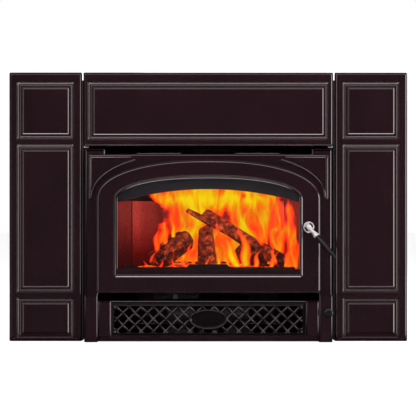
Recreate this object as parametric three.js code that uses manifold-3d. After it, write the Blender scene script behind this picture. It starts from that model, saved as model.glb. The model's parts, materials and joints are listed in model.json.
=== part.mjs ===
// Wood-burning fireplace insert with a cast surround. Millimetres, +Z up, front towards -Y.
// Origin: underside of the base plate, on the centre line, in the back plane of the surround.
import * as THREE from "three";
import { mergeVertices } from "three/addons/utils/BufferGeometryUtils.js";
import Module from "manifold-3d";

const wasm = await Module();
wasm.setup();

// ---------------------------------------------------------------- driving dimensions
const gap = 0.3; // between pieces that touch

// surround
const sidePanelWidth = 201.5;
const topPanelHeight = 205.2;
const panelDepth = 30;
const panelWall = 5;
const panelRound = 8;
const panelJoint = 3; // between the top panel and each side panel
const frameJoint = 8.5; // between the front casting and each side panel
const mouldingGroove = [
  [0, 0],
  [3, 4.5],
  [4, 5],
]; // [inset, depth] of the sunk moulding, from a field's edge inwards
const mouldingRise = [
  [6, 5.5],
  [7.5, 3.2],
  [9, 2.6],
  [15, 2.2],
  [18, 0.8],
];
const bracketBottom = 3;
const bracketTopDrop = 22; // below the surround's top
const bracketSetback = 3; // behind the panels' front faces
const bracketReach = 45; // along the casing's side
const sideFieldMargin = 22;
const sideFieldTopMargin = 28;
const sideFieldBottomMargin = 7.5;
const fieldRail = 14.5;
const topFieldHeight = 157.5;
const bottomFieldHeight = 113;
const wideFieldMargin = 13;
const wideFieldTopMargin = 28;
const wideFieldBottomMargin = 18;

// front casting
const frameHalf = 340;
const topRail = 17; // from the door's top to the casting's top
const frameDepth = 36; // front face to the back plane of the surround
const frameThick = 8;
const frameRound = 5;
const flangeThick = 6;
const slotHeight = 20.5; // warm-air outlet over the casting
const cornerBlockWidth = 56;
const cornerBlockRise = 13;
const legWidth = 36.7;
const legTop = 130;
const legProud = 18;
const legWall = 6;
const bridgeBottom = 133;
const openingLap = 24; // of the door's edge beyond the fire opening
const fireOpeningBottom = 160;
const shoulderDrop = 16.4; // fire opening's corners below the door's spring line
const fireOpeningRise = 46.4;
const beadWidth = 8;
const beadProud = 3;
const beadInset = 10; // from the casting's side edge
const beadTopInset = 2.5;
const beadEnd = 196; // from the centre line
const beadClear = 19; // from the door's edge
const beadTopClear = 27;
const stopWidth = 7; // lug behind the casting that stops the grille
const stopHeights = [85, 105];

// door
const doorMargin = 33; // from the door's edge to the casting's edge
const doorBottom = 137;
const archSpring = 390; // where the upright sides end
const doorRise = 110;
const archPower = 2.24;
const doorThick = 20.5;
const doorClearance = 1.5;
const doorRound = 7;
const doorCorner = 9;
const doorBorder = 51;
const windowBottom = 177;
const windowRise = 66;
const windowChamfer = 7;
const lipBottom = 201;
const lipRise = 60;
const lipDepth = 8; // from the door's front face to the end of the window's chamfer
const lipThick = 2.5;
const windowCorner = 3;
const seatCorner = 4;
const seatMargin = 18; // glass seat beyond the lip
const ledgeMargin = 12; // clip ledge beyond the glass seat
const ledgeDepth = 3.7; // clip ledge below the door's back face
const glassThick = 4.8;
const glassClearance = 3;
const gasketThick = 2;
const ropeCentre = 19; // door gasket's centre line in from the door's edge
const ropeWidth = 8;
const ropeDepth = 5;
const clipThick = 2.5;
const clipWidth = 16;
const clipGrip = 8; // over the glass
const clipSlack = 2; // from its ledge's end
const clipHeights = [230, 368];

// door hinge
const hingeInset = 8; // pin axis from the door's left edge
const hingeForward = 10; // pin axis in front of the casting's face
const hingeHeights = [176, 366];
const lugRadius = 4.5;
const lugThick = 8;
const pinRadius = 2.5;
const pinLength = 30;
const runClearance = 0.4; // round a pin or shaft that turns

// latch and handle
const handleInset = 32.4; // spindle axis from the door's right edge
const handleHeight = 316;
const handleFall = 50; // degrees below level at rest
const spindleRadius = 4;
const hubRadius = 15;
const hubThick = 4;
const crescentInner = 7.5;
const crescentOuter = 11.7;
const crescentHalf = 0.75; // radians
const bossRadius = 6.2;
const bossLength = 9;
const stemNeck = 3.6;
const stemFlare = 8.6;
const stemLength = 33;
const gripLength = 76;
const gripRadius = 8;
const leverOut = 12; // degrees that the lever leans away from the door
const camReach = 15.5;
const camHalf = 6.5; // less than the room beside the fire opening's edge
const camThick = 6;
const strikeThick = 4;
const strikeWidth = 8;
const strikeHeight = 40;

// lower grille
const grilleTop = 113.8;
const grilleBottom = 3;
const grilleThick = 12;
const grilleBack = 38;
const pilasterWidth = 36;
const pilasterProud = 4;
const pilasterBottom = 14;
const grilleSide = 0.6; // each side, between the grille and the legs
const latticeInset = 4.1; // from the pilasters' inner edges
const latticeBottom = 21;
const latticeHeight = 81.5;
const latticeThick = 5;
const latticeBorder = 5;
const latticePitch = 33.5;
const latticeBar = 6.2;
const latticeSlack = 1.6; // round the lattice in its frame
const cornerTab = 16;
const tabThick = 3;
const grilleRound = 4;
const screwPad = 12; // solid corner of the lattice that takes a screw
const medallionHalf = 53;
const medallionRise = 28.5;
const medallionThick = 5;
const medallionRim = 5;
const medallionDish = 2.5; // from the rim down to the plate
const grillePinHeight = 22;
const grillePinForward = 10.5; // pin axis in front of the grille's back face
const grillePinRadius = 3;
const grillePinLength = 5.5;

// casing
const sheet = 2.5;
const jacketDepth = 430;
const jacketStraight = 110; // depth at which the sides start to close in
const jacketTaper = 108.7; // of each side, from front to rear
const jacketRise = 26; // above the front casting
const baseThick = 3;

// firebox
const liningInset = 21; // from the fire opening's edge
const liningTaper = 121; // of each side, from front to rear
const liningFront = -10;
const liningRear = 335;
const liningSplit = 110; // joint between the front and rear side bricks
const brick = 25;
const steel = 5;
const fireboxBottom = 150;
const fireboxDrop = 53; // firebox's top below the casing's top
const tubeRadius = 12;
const tubeDrop = 63; // tubes' centre line below the firebox's top
const tubeClear = 39; // tubes' centre line above the side bricks
const channelWidth = 18; // side channel that feeds the tubes
const tubePlaces = [70, 180, 290];
const baffleThick = 15;
const baffleFront = 55;
const guardThick = 6;
const guardInset = 22; // from the lining, each side
const guardHeight = 23;
const guardTab = 52;
const guardTabRise = 8;
const emberHeight = 26;
const emberInset = 8; // from the lining
const logRadius = 30;

// flue
const flueRadius = 76;
const collarWall = 6;
const collarRise = 42; // above the casing
const collarFlange = 18;
const flueFromFront = 250;

// air control
const airCentre = -90;
const airBoxHalf = 63;
const airBoxFront = 20;
const airBoxLength = 80;
const airBoxDrop = 35;
const airPort = 14;
const slideTab = [-5, 8]; // finger tab below and above the lever
const slideThick = 3;
const slideHalf = 25;
const slideTravel = 25;
const slideHeight = 123;
const leverWidth = 12;
const leverFront = 44;

// blower
const blowerDepth = 150;
const blowerHeight = 62;
const mouthReach = 80; // volute's mouth behind the shaft
const bladeThick = 1.4;
const bladeChord = 7;
const bladeTilt = 0.5; // radians
const trayFront = 60; // before and behind the shaft
const trayRear = 70;
const cradleHalf = 5;
const motorRadius = 38;
const motorHalf = 35;
const wheelRadius = 36;
const wheelWidth = 62;
const bladeCount = 16;
const shaftRadius = 4;
const voluteWall = 2;
const voluteStart = 41;
const voluteEnd = 56;
const footStart = 10; // volute's foot behind the shaft
const footEnd = 50;
const voluteGap = 4; // between a wheel's end and its housing
const inletRadius = 26;
const trayThick = 2;
const knobRadius = 12.4;
const knobDepth = 16;
const knobInset = 11; // from the casting's side edge
const knobHeight = 80.5;
const knobShaftRadius = 3.5;
const rheostatSize = 24;
const rheostatDepth = 18;
const knobShaftReach = 10;
const pointerWidth = 2;
const pointerProud = 0.8;

// ---------------------------------------------------------------- derived planes
const frameTop = archSpring + doorRise + topRail;
const legInner = frameHalf - legWidth;
const doorHalf = frameHalf - doorMargin;
const fireOpeningHalf = doorHalf - openingLap;
const fireOpeningShoulder = archSpring - shoulderDrop;
const fireOpeningTop = fireOpeningShoulder + fireOpeningRise;
const beadFoot = archSpring + gap;
const windowHalf = doorHalf - doorBorder;
const lipHalf = windowHalf - windowChamfer;
const panelInner = frameHalf + frameJoint;
const panelOuter = panelInner + sidePanelWidth;
const topPanelHalf = panelInner - panelJoint;
const topPanelBottom = frameTop + slotHeight;
const surroundTop = topPanelBottom + topPanelHeight;
const frameFace = -frameDepth;
const frameBack = frameFace + frameThick;
const doorBack = frameFace - doorClearance;
const doorFront = doorBack - doorThick;
const lipBack = doorFront + lipDepth + lipThick;
const legFront = frameFace - legProud;
const hingeX = -(doorHalf - hingeInset);
const hingeY = frameFace - hingeForward;
const handleX = doorHalf - handleInset;
const grilleBackY = -grilleBack;
const grilleFront = grilleBackY - grilleThick;
const grilleHalf = legInner - grilleSide;
const latticeHalf = grilleHalf - pilasterWidth - latticeInset;
const jacketHalf = frameHalf - flangeThick - gap;
const jacketRearHalf = jacketHalf - jacketTaper;
const jacketTop = frameTop + jacketRise;
const fireboxTop = jacketTop - fireboxDrop;
const liningFrontHalf = fireOpeningHalf - liningInset;
const liningRearHalf = liningFrontHalf - liningTaper;
const guardHalf = liningFrontHalf - guardInset;
const tubeHeight = fireboxTop - tubeDrop;
const brickTop = tubeHeight - tubeClear;
const knobX = frameHalf - knobInset;
const liningSlope = (liningFrontHalf - liningRearHalf) / (liningRear - liningFront);
const liningStretch = Math.hypot(1, liningSlope);

// ---------------------------------------------------------------- solids from three.js geometry
function solid(geometry) {
  const bare = geometry.clone();
  bare.deleteAttribute("normal");
  bare.deleteAttribute("uv");
  const merged = mergeVertices(bare, 1e-4);
  const vertProperties = new Float32Array(merged.attributes.position.array);
  const triVerts = new Uint32Array(merged.index.array);
  const made = new wasm.Manifold(new wasm.Mesh({ numProp: 3, vertProperties, triVerts }));
  if (made.volume() > 0) return made;
  triVerts.reverse();
  return new wasm.Manifold(new wasm.Mesh({ numProp: 3, vertProperties, triVerts }));
}

function box(x0, x1, y0, y1, z0, z1) {
  const geometry = new THREE.BoxGeometry(x1 - x0, y1 - y0, z1 - z0);
  return solid(geometry.translate((x0 + x1) / 2, (y0 + y1) / 2, (z0 + z1) / 2));
}

const planeXZ = new THREE.Matrix4().makeRotationX(Math.PI / 2); // drawn upright, grows towards -Y
const planeYZ = new THREE.Matrix4().makeBasis(
  new THREE.Vector3(0, 1, 0),
  new THREE.Vector3(0, 0, 1),
  new THREE.Vector3(1, 0, 0),
);

const outline = (points) => new THREE.Shape(points.map(([a, b]) => new THREE.Vector2(a, b)));

// An upright plate between two depths, back first.
function upright(shape, back, front, curveSegments = 12) {
  const options = { depth: back - front, bevelEnabled: false, curveSegments };
  const geometry = new THREE.ExtrudeGeometry(shape, options);
  return solid(geometry.applyMatrix4(planeXZ).translate(0, back, 0));
}

// An upright plate whose front edges are rounded.
function roundedPlate(shape, back, front, round, steps = 2) {
  const geometry = new THREE.ExtrudeGeometry(shape, {
    depth: back - front,
    bevelThickness: round,
    bevelSize: round,
    bevelOffset: -round,
    bevelSegments: steps,
    curveSegments: 12,
  });
  const whole = solid(geometry.applyMatrix4(planeXZ).translate(0, back + round, 0));
  return whole.subtract(box(-panelOuter, panelOuter, back, back + 3 * round, -surroundTop, 2 * surroundTop));
}

function level(shape, z0, z1) {
  const geometry = new THREE.ExtrudeGeometry(shape, { depth: z1 - z0, bevelEnabled: false, curveSegments: 12 });
  return solid(geometry.translate(0, 0, z0));
}

function sideways(shape, x0, x1, curveSegments = 12) {
  const geometry = new THREE.ExtrudeGeometry(shape, { depth: x1 - x0, bevelEnabled: false, curveSegments });
  return solid(geometry.applyMatrix4(planeYZ).translate(x0, 0, 0));
}

// A cylinder or cone along X, Y or Z between two places on that axis; u and v place it across the axis.
function round(axis, from, to, u, v, radius, endRadius = radius, sides = 12) {
  const geometry = new THREE.CylinderGeometry(endRadius, radius, to - from, sides);
  geometry.translate(0, (from + to) / 2, 0);
  if (axis === "x") geometry.rotateZ(-Math.PI / 2).translate(0, u, v);
  if (axis === "y") geometry.translate(u, 0, v);
  if (axis === "z") geometry.rotateX(Math.PI / 2).translate(u, v, 0);
  return solid(geometry);
}

// A closed skin over rings that have equal numbers of points; flat gives a point's place in its cap.
function loft(rings, flat) {
  const count = rings[0].length;
  const faces = [];
  for (let r = 0; r + 1 < rings.length; r++) {
    for (let i = 0; i < count; i++) {
      const a = r * count + i;
      const b = r * count + ((i + 1) % count);
      faces.push(a, b, b + count, a, b + count, a + count);
    }
  }
  const cap = (ring) => THREE.ShapeUtils.triangulateShape(ring.map(flat), []);
  const last = (rings.length - 1) * count;
  const turned = THREE.ShapeUtils.isClockWise(rings[0].map(flat));
  cap(rings[0]).forEach(([a, b, c]) => faces.push(...(turned ? [a, b, c] : [c, b, a])));
  cap(rings.at(-1)).forEach(([a, b, c]) => {
    faces.push(...(turned ? [last + c, last + b, last + a] : [last + a, last + b, last + c]));
  });
  const geometry = new THREE.BufferGeometry().setFromPoints(rings.flat());
  geometry.setIndex(faces);
  return solid(geometry);
}

const uprightFlat = (p) => new THREE.Vector2(p.x, p.z);

// A rectangle in a plane of constant depth, drawn in by an inset, with its corners cut round.
function rectangleRing(x0, x1, z0, z1, y, inset, corner = 0) {
  const left = x0 + inset;
  const right = x1 - inset;
  const low = z0 + inset;
  const high = z1 - inset;
  const corners = [
    [left, low, 1, 1],
    [right, low, -1, 1],
    [right, high, -1, -1],
    [left, high, 1, -1],
  ];
  if (!corner) return corners.map(([x, z]) => new THREE.Vector3(x, y, z));
  const cut = corner * 0.3;
  return corners.flatMap(([x, z, a, b], i) => {
    const ends = [
      [x + a * corner, z],
      [x + a * cut, z + b * cut],
      [x, z + b * corner],
    ];
    if (i % 2 === 0) ends.reverse();
    return ends.map(([px, pz]) => new THREE.Vector3(px, y, pz));
  });
}

function mirrored(made) {
  return made.mirror([1, 0, 0]);
}

const union = (first, ...rest) => rest.reduce((sum, made) => sum.add(made), first);

// ---------------------------------------------------------------- finishes
const finish = (color, roughness, metalness, extra = {}) =>
  new THREE.MeshStandardMaterial({ color, roughness, metalness, flatShading: true, ...extra });
const enamel = finish(0x241419, 0.18, 0.0);
const blackSteel = finish(0x1b1b1d, 0.6, 0.4);
const zincSteel = finish(0x9a9c9e, 0.45, 0.8);
const nickel = finish(0xd6d4cf, 0.2, 1.0);
const blackGrip = finish(0x17181a, 0.35, 0.0);
const ceramicGlass = finish(0xdfe6ea, 0.05, 0.0, { transparent: true, opacity: 0.25 });
const rope = finish(0x8b8880, 0.95, 0.0);
const fireBrick = finish(0xa3604f, 0.9, 0.0);
const board = finish(0xcfc6b4, 0.95, 0.0);
const bark = finish(0x3a211a, 0.95, 0.0);
const ember = finish(0xb8401c, 0.95, 0.0, { emissive: 0x8a2408 });

const insert = new THREE.Group();

function piece(name, made, material) {
  const mesh = made.getMesh();
  const geometry = new THREE.BufferGeometry();
  geometry.setAttribute("position", new THREE.BufferAttribute(mesh.vertProperties, 3));
  geometry.setIndex(new THREE.BufferAttribute(mesh.triVerts, 1));
  const node = new THREE.Mesh(geometry, material);
  node.name = name;
  insert.add(node);
}

// ---------------------------------------------------------------- surround
// A sunk moulding round a raised field, cut into the panel's face.
function mouldedField(panel, x0, x1, z0, z1) {
  const front = -panelDepth;
  const ring = ([inset, depth]) => rectangleRing(x0, x1, z0, z1, front + depth, inset);
  const sunk = loft([ring([0, -1]), ...mouldingGroove.map(ring)], uprightFlat);
  const raised = loft(mouldingRise.map(ring), uprightFlat);
  return panel.subtract(sunk).add(raised);
}

// An open-backed panel with rounded front edges; fields lists [x0, x1, z0, z1].
function surroundPanel(x0, x1, z0, z1, fields) {
  const ring = (y, inset) => rectangleRing(x0, x1, z0, z1, y, inset, panelRound / 2);
  const front = -panelDepth;
  let panel = loft(
    [
      ring(0, 0),
      ring(front + panelRound, 0),
      ring(front + panelRound * 0.35, panelRound * 0.12),
      ring(front + panelRound * 0.08, panelRound * 0.45),
      ring(front, panelRound),
    ],
    uprightFlat,
  );
  const backSkin = front + 2 * panelWall;
  const ribHalf = panelWall / 2;
  const splits = fields.slice(1).map(([, , low], i) => (low + fields[i][3]) / 2);
  const lows = [z0 + panelWall, ...splits.map((z) => z + ribHalf)];
  const highs = [...splits.map((z) => z - ribHalf), z1 - panelWall];
  fields.forEach((field, i) => {
    panel = mouldedField(panel, ...field);
    panel = panel.subtract(box(x0 + panelWall, x1 - panelWall, backSkin, 1, lows[i], highs[i]));
  });
  return panel;
}

function buildSurround() {
  const fieldLeft = panelInner + sideFieldMargin;
  const fieldRight = panelOuter - sideFieldMargin;
  const lowTop = sideFieldBottomMargin + bottomFieldHeight;
  const highBottom = surroundTop - sideFieldTopMargin - topFieldHeight;
  const sideFields = [
    [fieldLeft, fieldRight, sideFieldBottomMargin, lowTop],
    [fieldLeft, fieldRight, lowTop + fieldRail, highBottom - fieldRail],
    [fieldLeft, fieldRight, highBottom, surroundTop - sideFieldTopMargin],
  ];
  const right = surroundPanel(panelInner, panelOuter, 0, surroundTop, sideFields);
  piece("surround_right", right, enamel);
  piece("surround_left", mirrored(right), enamel);
  const wideField = [
    wideFieldMargin - topPanelHalf,
    topPanelHalf - wideFieldMargin,
    topPanelBottom + wideFieldBottomMargin,
    surroundTop - wideFieldTopMargin,
  ];
  const top = surroundPanel(-topPanelHalf, topPanelHalf, topPanelBottom, surroundTop, [wideField]);
  piece("surround_top", top, enamel);

  // Joggled angle: it hugs the panels' inner ends in front and the casing's side behind.
  const fin = [topPanelHalf + gap, panelInner - gap];
  const leg = [jacketHalf + gap, jacketHalf + gap + sheet];
  const front = bracketSetback - panelDepth;
  const joggle = outline([
    [fin[0], front],
    [fin[1], front],
    [fin[1], sheet + gap],
    [leg[1], sheet + gap],
    [leg[1], bracketReach],
    [leg[0], bracketReach],
    [leg[0], gap],
    [fin[0], gap],
  ]);
  const shoulder = topPanelBottom - 2 * gap;
  const bracket = union(
    level(joggle, bracketBottom, shoulder),
    box(fin[0], fin[1], front, -2 * gap, shoulder - 1, surroundTop - bracketTopDrop),
  );
  piece("surround_bracket_right", bracket, blackSteel);
  piece("surround_bracket_left", mirrored(bracket), blackSteel);
}

// ---------------------------------------------------------------- arched outlines
// Upright sides, a rounded foot and a flattened arch. The number of points doesn't depend on the size.
function archPoints(half, bottom, rise, foot = 0, steps = 22) {
  const points = [];
  const footSteps = 3;
  for (let i = 0; i <= footSteps; i++) {
    const turn = (Math.PI / 2) * (i / footSteps);
    points.push([half - foot + foot * Math.sin(turn), bottom + foot - foot * Math.cos(turn)]);
  }
  for (let i = 0; i <= steps; i++) {
    const turn = Math.PI * (i / steps);
    const across = Math.sign(Math.cos(turn)) * Math.abs(Math.cos(turn)) ** (2 / archPower);
    const up = Math.sin(turn) ** (2 / archPower);
    points.push([half * across, archSpring + rise * up]);
  }
  for (let i = footSteps; i >= 0; i--) {
    const turn = (Math.PI / 2) * (i / footSteps);
    points.push([foot - half - foot * Math.sin(turn), bottom + foot - foot * Math.cos(turn)]);
  }
  return points;
}

const archShape = (...sizes) => outline(archPoints(...sizes));

// ---------------------------------------------------------------- front casting
function fireOpening() {
  const half = fireOpeningHalf;
  const rise = fireOpeningTop - fireOpeningShoulder;
  const radius = (half * half + rise * rise) / (2 * rise);
  const reach = Math.asin(half / radius);
  const hole = new THREE.Shape();
  hole.moveTo(-half, fireOpeningBottom);
  hole.lineTo(half, fireOpeningBottom);
  hole.lineTo(half, fireOpeningShoulder);
  hole.absarc(0, fireOpeningTop - radius, radius, Math.PI / 2 - reach, Math.PI / 2 + reach, false);
  return hole;
}

// Raised bead round the corner between the casting's edge and the door's arch.
function spandrelBead() {
  const left = beadInset - frameHalf;
  const top = frameTop - beadTopInset;
  const arch = (extra) =>
    upright(archShape(doorHalf + beadClear + extra, 0, doorRise + beadTopClear + extra), 0, 2 * frameFace);
  const back = frameFace + 1;
  const front = frameFace - beadProud;
  const outer = box(left, -beadEnd, front, back, beadFoot, top).subtract(arch(0));
  const inner = box(left + beadWidth - 1, 1 - beadEnd, front - 1, back + 1, beadFoot, top - beadWidth);
  return outer.subtract(inner.subtract(arch(beadWidth)));
}

function hingeLug(height) {
  const lug = new THREE.Shape();
  lug.moveTo(hingeX + lugRadius, frameFace + 1);
  lug.lineTo(hingeX + lugRadius, hingeY);
  lug.absarc(hingeX, hingeY, lugRadius, 0, -Math.PI, true);
  lug.lineTo(hingeX - lugRadius, frameFace + 1);
  const tab = level(lug, height - lugThick / 2, height + lugThick / 2);
  const bore = pinRadius + runClearance;
  return tab.subtract(round("z", height - lugThick, height + lugThick, hingeX, hingeY, bore));
}

function buildFrontFrame() {
  const blockTop = frameTop + cornerBlockRise;
  const blockInner = frameHalf - cornerBlockWidth;
  const face = outline([
    [-frameHalf, 0],
    [-legInner, 0],
    [-legInner, bridgeBottom],
    [legInner, bridgeBottom],
    [legInner, 0],
    [frameHalf, 0],
    [frameHalf, blockTop],
    [blockInner, blockTop],
    [blockInner, frameTop],
    [-blockInner, frameTop],
    [-blockInner, blockTop],
    [-frameHalf, blockTop],
  ]);
  let frame = roundedPlate(face, frameBack, frameFace, frameRound);
  const legShape = outline([
    [legInner, 0],
    [frameHalf, 0],
    [frameHalf, legTop],
    [legInner, legTop],
  ]);
  const leg = roundedPlate(legShape, frameBack, legFront, frameRound + 1, 3);
  frame = union(frame, leg, mirrored(leg));
  frame = frame.subtract(upright(fireOpening(), frameBack + 1, frameFace - 1));
  const legHollow = box(
    legInner + legWall,
    frameHalf - flangeThick,
    legFront + legWall,
    1,
    -1,
    legTop - legWall,
  );
  const sideFlange = box(frameHalf - flangeThick, frameHalf, frameBack - 1, -gap, 0, blockTop);
  const topFlange = box(-blockInner, blockInner, frameBack - 1, -gap, frameTop - flangeThick, frameTop);
  const stop = box(legInner - stopWidth, legInner + 1, grilleBackY + gap, frameBack, ...stopHeights);
  const bead = spandrelBead();
  frame = frame.subtract(legHollow).subtract(mirrored(legHollow));
  frame = union(frame, sideFlange, mirrored(sideFlange), topFlange, stop, mirrored(stop), bead, mirrored(bead));
  hingeHeights.forEach((height) => {
    frame = frame.add(hingeLug(height));
  });
  const pinHole = grillePinRadius + runClearance;
  const pinY = grilleBackY - grillePinForward;
  const across = legInner + legWall + 1;
  frame = frame.subtract(round("x", -across, across, pinY, grillePinHeight, pinHole));
  const knobHole = knobShaftRadius + runClearance;
  frame = frame.subtract(round("y", legFront - 1, legFront + legWall + 1, knobX, knobHeight, knobHole));
  piece("front_frame", frame, enamel);

  const strikeX = [fireOpeningHalf + 1, fireOpeningHalf + 1 + strikeWidth];
  const strikeZ = [handleHeight - strikeHeight / 2, handleHeight + strikeHeight / 2];
  const strike = box(...strikeX, frameBack + gap, frameBack + gap + strikeThick, ...strikeZ);
  piece("latch_strike", strike, blackSteel);
}

// ---------------------------------------------------------------- door
function buildDoor() {
  const seatHalf = lipHalf + seatMargin;
  const seatBottom = lipBottom - seatMargin;
  const seatRise = lipRise + seatMargin - glassClearance;
  const ledgeBack = doorBack - ledgeDepth;
  const flatRing = (points, y) => points.map(([x, z]) => new THREE.Vector3(x, y, z));
  const edge = archShape(doorHalf, doorBottom, doorRise, doorCorner);
  let door = roundedPlate(edge, doorBack, doorFront, doorRound, 3);
  const window = archPoints(windowHalf, windowBottom, windowRise, windowCorner);
  const lip = archPoints(lipHalf, lipBottom, lipRise, windowCorner);
  door = door.subtract(
    loft(
      [
        flatRing(window, doorFront - 1),
        flatRing(window, doorFront + 1),
        flatRing(lip, doorFront + lipDepth),
        flatRing(lip, doorBack),
      ],
      uprightFlat,
    ),
  );
  const seat = (extra) => archShape(seatHalf + extra, seatBottom - extra, seatRise + extra, seatCorner);
  door = door.subtract(upright(seat(0), doorBack + 1, lipBack));
  door = door.subtract(upright(seat(ledgeMargin), doorBack + 1, ledgeBack));
  // A loop that follows the door's edge, between two depths, half of its width each side of its centre line.
  const ropeLoop = (half, back, front) => {
    const filled = (inset, more) => {
      const shape = archShape(doorHalf - inset, doorBottom + inset, doorRise - inset + 2, 6);
      return upright(shape, back + more, front - more);
    };
    return filled(ropeCentre - half, 0).subtract(filled(ropeCentre + half, 1));
  };
  const ropeFront = doorBack - ropeDepth;
  door = door.subtract(ropeLoop(ropeWidth / 2, doorBack + 1, ropeFront));
  // Back of the hinged edge cut away so that it turns clear of the casting.
  const chamfer = outline([
    [-doorHalf - 1, doorBack - hingeInset - 1],
    [-doorHalf + hingeInset + 1, doorBack + 1],
    [-doorHalf - 1, doorBack + 1],
  ]);
  door = door.subtract(level(chamfer, doorBottom - 1, archSpring + doorRise));
  const slotHalf = lugThick / 2 + 1;
  hingeHeights.forEach((height) => {
    const low = height - slotHalf;
    const high = height + slotHalf;
    const right = hingeX + lugRadius + 1;
    door = door.subtract(box(-doorHalf - 1, right, hingeY - lugRadius - 2, doorBack + 1, low, high));
    const reach = pinLength / 2 + gap;
    door = door.subtract(round("z", height - reach, height + reach, hingeX, hingeY, pinRadius + gap));
  });
  const spindleHole = spindleRadius + runClearance;
  door = door.subtract(round("y", doorFront - 1, doorBack + 1, handleX, handleHeight, spindleHole));
  piece("door_frame", door, enamel);

  hingeHeights.forEach((height, i) => {
    const reach = pinLength / 2;
    const pin = round("z", height - reach, height + reach, hingeX, hingeY, pinRadius);
    piece(["hinge_pin_lower", "hinge_pin_upper"][i], pin, zincSteel);
  });

  const gasketFront = lipBack + gap;
  const gasketBack = gasketFront + gasketThick;
  const glassFront = gasketBack + gap;
  const glassBack = glassFront + glassThick;
  const glassShape = (inset) => archShape(seatHalf - inset, seatBottom + inset, seatRise - inset, windowCorner);
  const ring = upright(glassShape(glassClearance), gasketBack, gasketFront);
  const ringHole = upright(glassShape(seatMargin - glassClearance), gasketBack + 1, gasketFront - 1);
  piece("glass_gasket", ring.subtract(ringHole), rope);
  piece("door_glass", upright(glassShape(glassClearance), glassBack, glassFront), ceramicGlass);

  const clipFront = Math.max(glassBack, ledgeBack) + gap;
  const clipX = [seatHalf - glassClearance - clipGrip, seatHalf + ledgeMargin - clipSlack];
  clipHeights.forEach((height, i) => {
    const low = height - clipWidth / 2;
    const clip = box(...clipX, clipFront, clipFront + clipThick, low, low + clipWidth);
    const place = ["lower", "upper"][i];
    piece("glass_clip_right_" + place, clip, blackSteel);
    piece("glass_clip_left_" + place, mirrored(clip), blackSteel);
  });

  piece("door_gasket", ropeLoop(ropeWidth / 2 - gap, frameFace - gap, ropeFront + gap), rope);
}

// ---------------------------------------------------------------- handle and latch
function buildHandle() {
  const hubBack = doorFront - gap;
  const hubFront = hubBack - hubThick;
  const crescent = (side) => {
    const facing = THREE.MathUtils.degToRad(90 - handleFall) + (side > 0 ? 0 : Math.PI);
    const cut = new THREE.Shape();
    cut.absarc(handleX, handleHeight, crescentOuter, facing - crescentHalf, facing + crescentHalf, false);
    cut.absarc(handleX, handleHeight, crescentInner, facing + crescentHalf, facing - crescentHalf, true);
    return upright(cut, hubBack + 1, hubFront - 1, 4);
  };
  let hub = round("y", hubFront, hubBack, handleX, handleHeight, hubRadius, hubRadius, 24);
  hub = hub.subtract(crescent(1)).subtract(crescent(-1));
  hub = hub.subtract(round("y", hubFront - 1, hubBack + 1, handleX, handleHeight, spindleRadius + gap));
  piece("handle_hub", hub, nickel);

  // The stem and the grip are turned about one axis that starts at the spindle's front end.
  const down = THREE.MathUtils.degToRad(handleFall);
  const out = THREE.MathUtils.degToRad(leverOut);
  const lean = new THREE.Vector3(
    Math.cos(down) * Math.cos(out),
    -Math.sin(out),
    -Math.sin(down) * Math.cos(out),
  );
  const bossY = hubFront - gap - bossRadius;
  const turn = new THREE.Quaternion().setFromUnitVectors(new THREE.Vector3(0, 1, 0), lean);
  const turned = (profile, sides) => {
    const points = profile.map(([r, s]) => new THREE.Vector2(r, s));
    const geometry = new THREE.LatheGeometry(points, sides);
    geometry.applyQuaternion(turn);
    return solid(geometry.translate(handleX, bossY, handleHeight));
  };
  const stem = turned(
    [
      [0, -2],
      [stemNeck, -2],
      [stemNeck, stemLength * 0.35],
      [stemFlare * 0.7, stemLength * 0.75],
      [stemFlare, stemLength - 2],
      [stemFlare, stemLength],
      [0, stemLength],
    ],
    12,
  );
  const boss = round("y", hubFront - gap - bossLength, hubFront - gap, handleX, handleHeight, bossRadius);
  const strikeBack = frameBack + gap + strikeThick;
  const camFront = strikeBack + gap;
  const camBack = camFront + camThick;
  const spindle = round("y", hubFront - gap - 1, camBack + 4, handleX, handleHeight, spindleRadius);
  piece("handle_stem", union(stem, boss, spindle), nickel);

  const start = stemLength + gap;
  const grip = turned(
    [
      [0, start],
      [gripRadius * 0.86, start],
      [gripRadius, start + gripLength * 0.12],
      [gripRadius * 0.94, start + gripLength * 0.55],
      [gripRadius * 0.74, start + gripLength * 0.9],
      [gripRadius * 0.5, start + gripLength],
      [0, start + gripLength],
    ],
    12,
  );
  piece("handle_grip", grip, blackGrip);

  // Cam plate whose nose turns in behind the strike.
  const nose = new THREE.Shape();
  nose.absarc(handleX, handleHeight, camHalf, Math.PI / 2, (3 * Math.PI) / 2, false);
  nose.absarc(handleX + camReach - camHalf, handleHeight, camHalf, -Math.PI / 2, Math.PI / 2, false);
  const cam = upright(nose, camBack, camFront, 5);
  const eye = round("y", camFront - 1, camBack + 1, handleX, handleHeight, spindleRadius + gap);
  piece("latch_cam", cam.subtract(eye), zincSteel);
}

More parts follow.
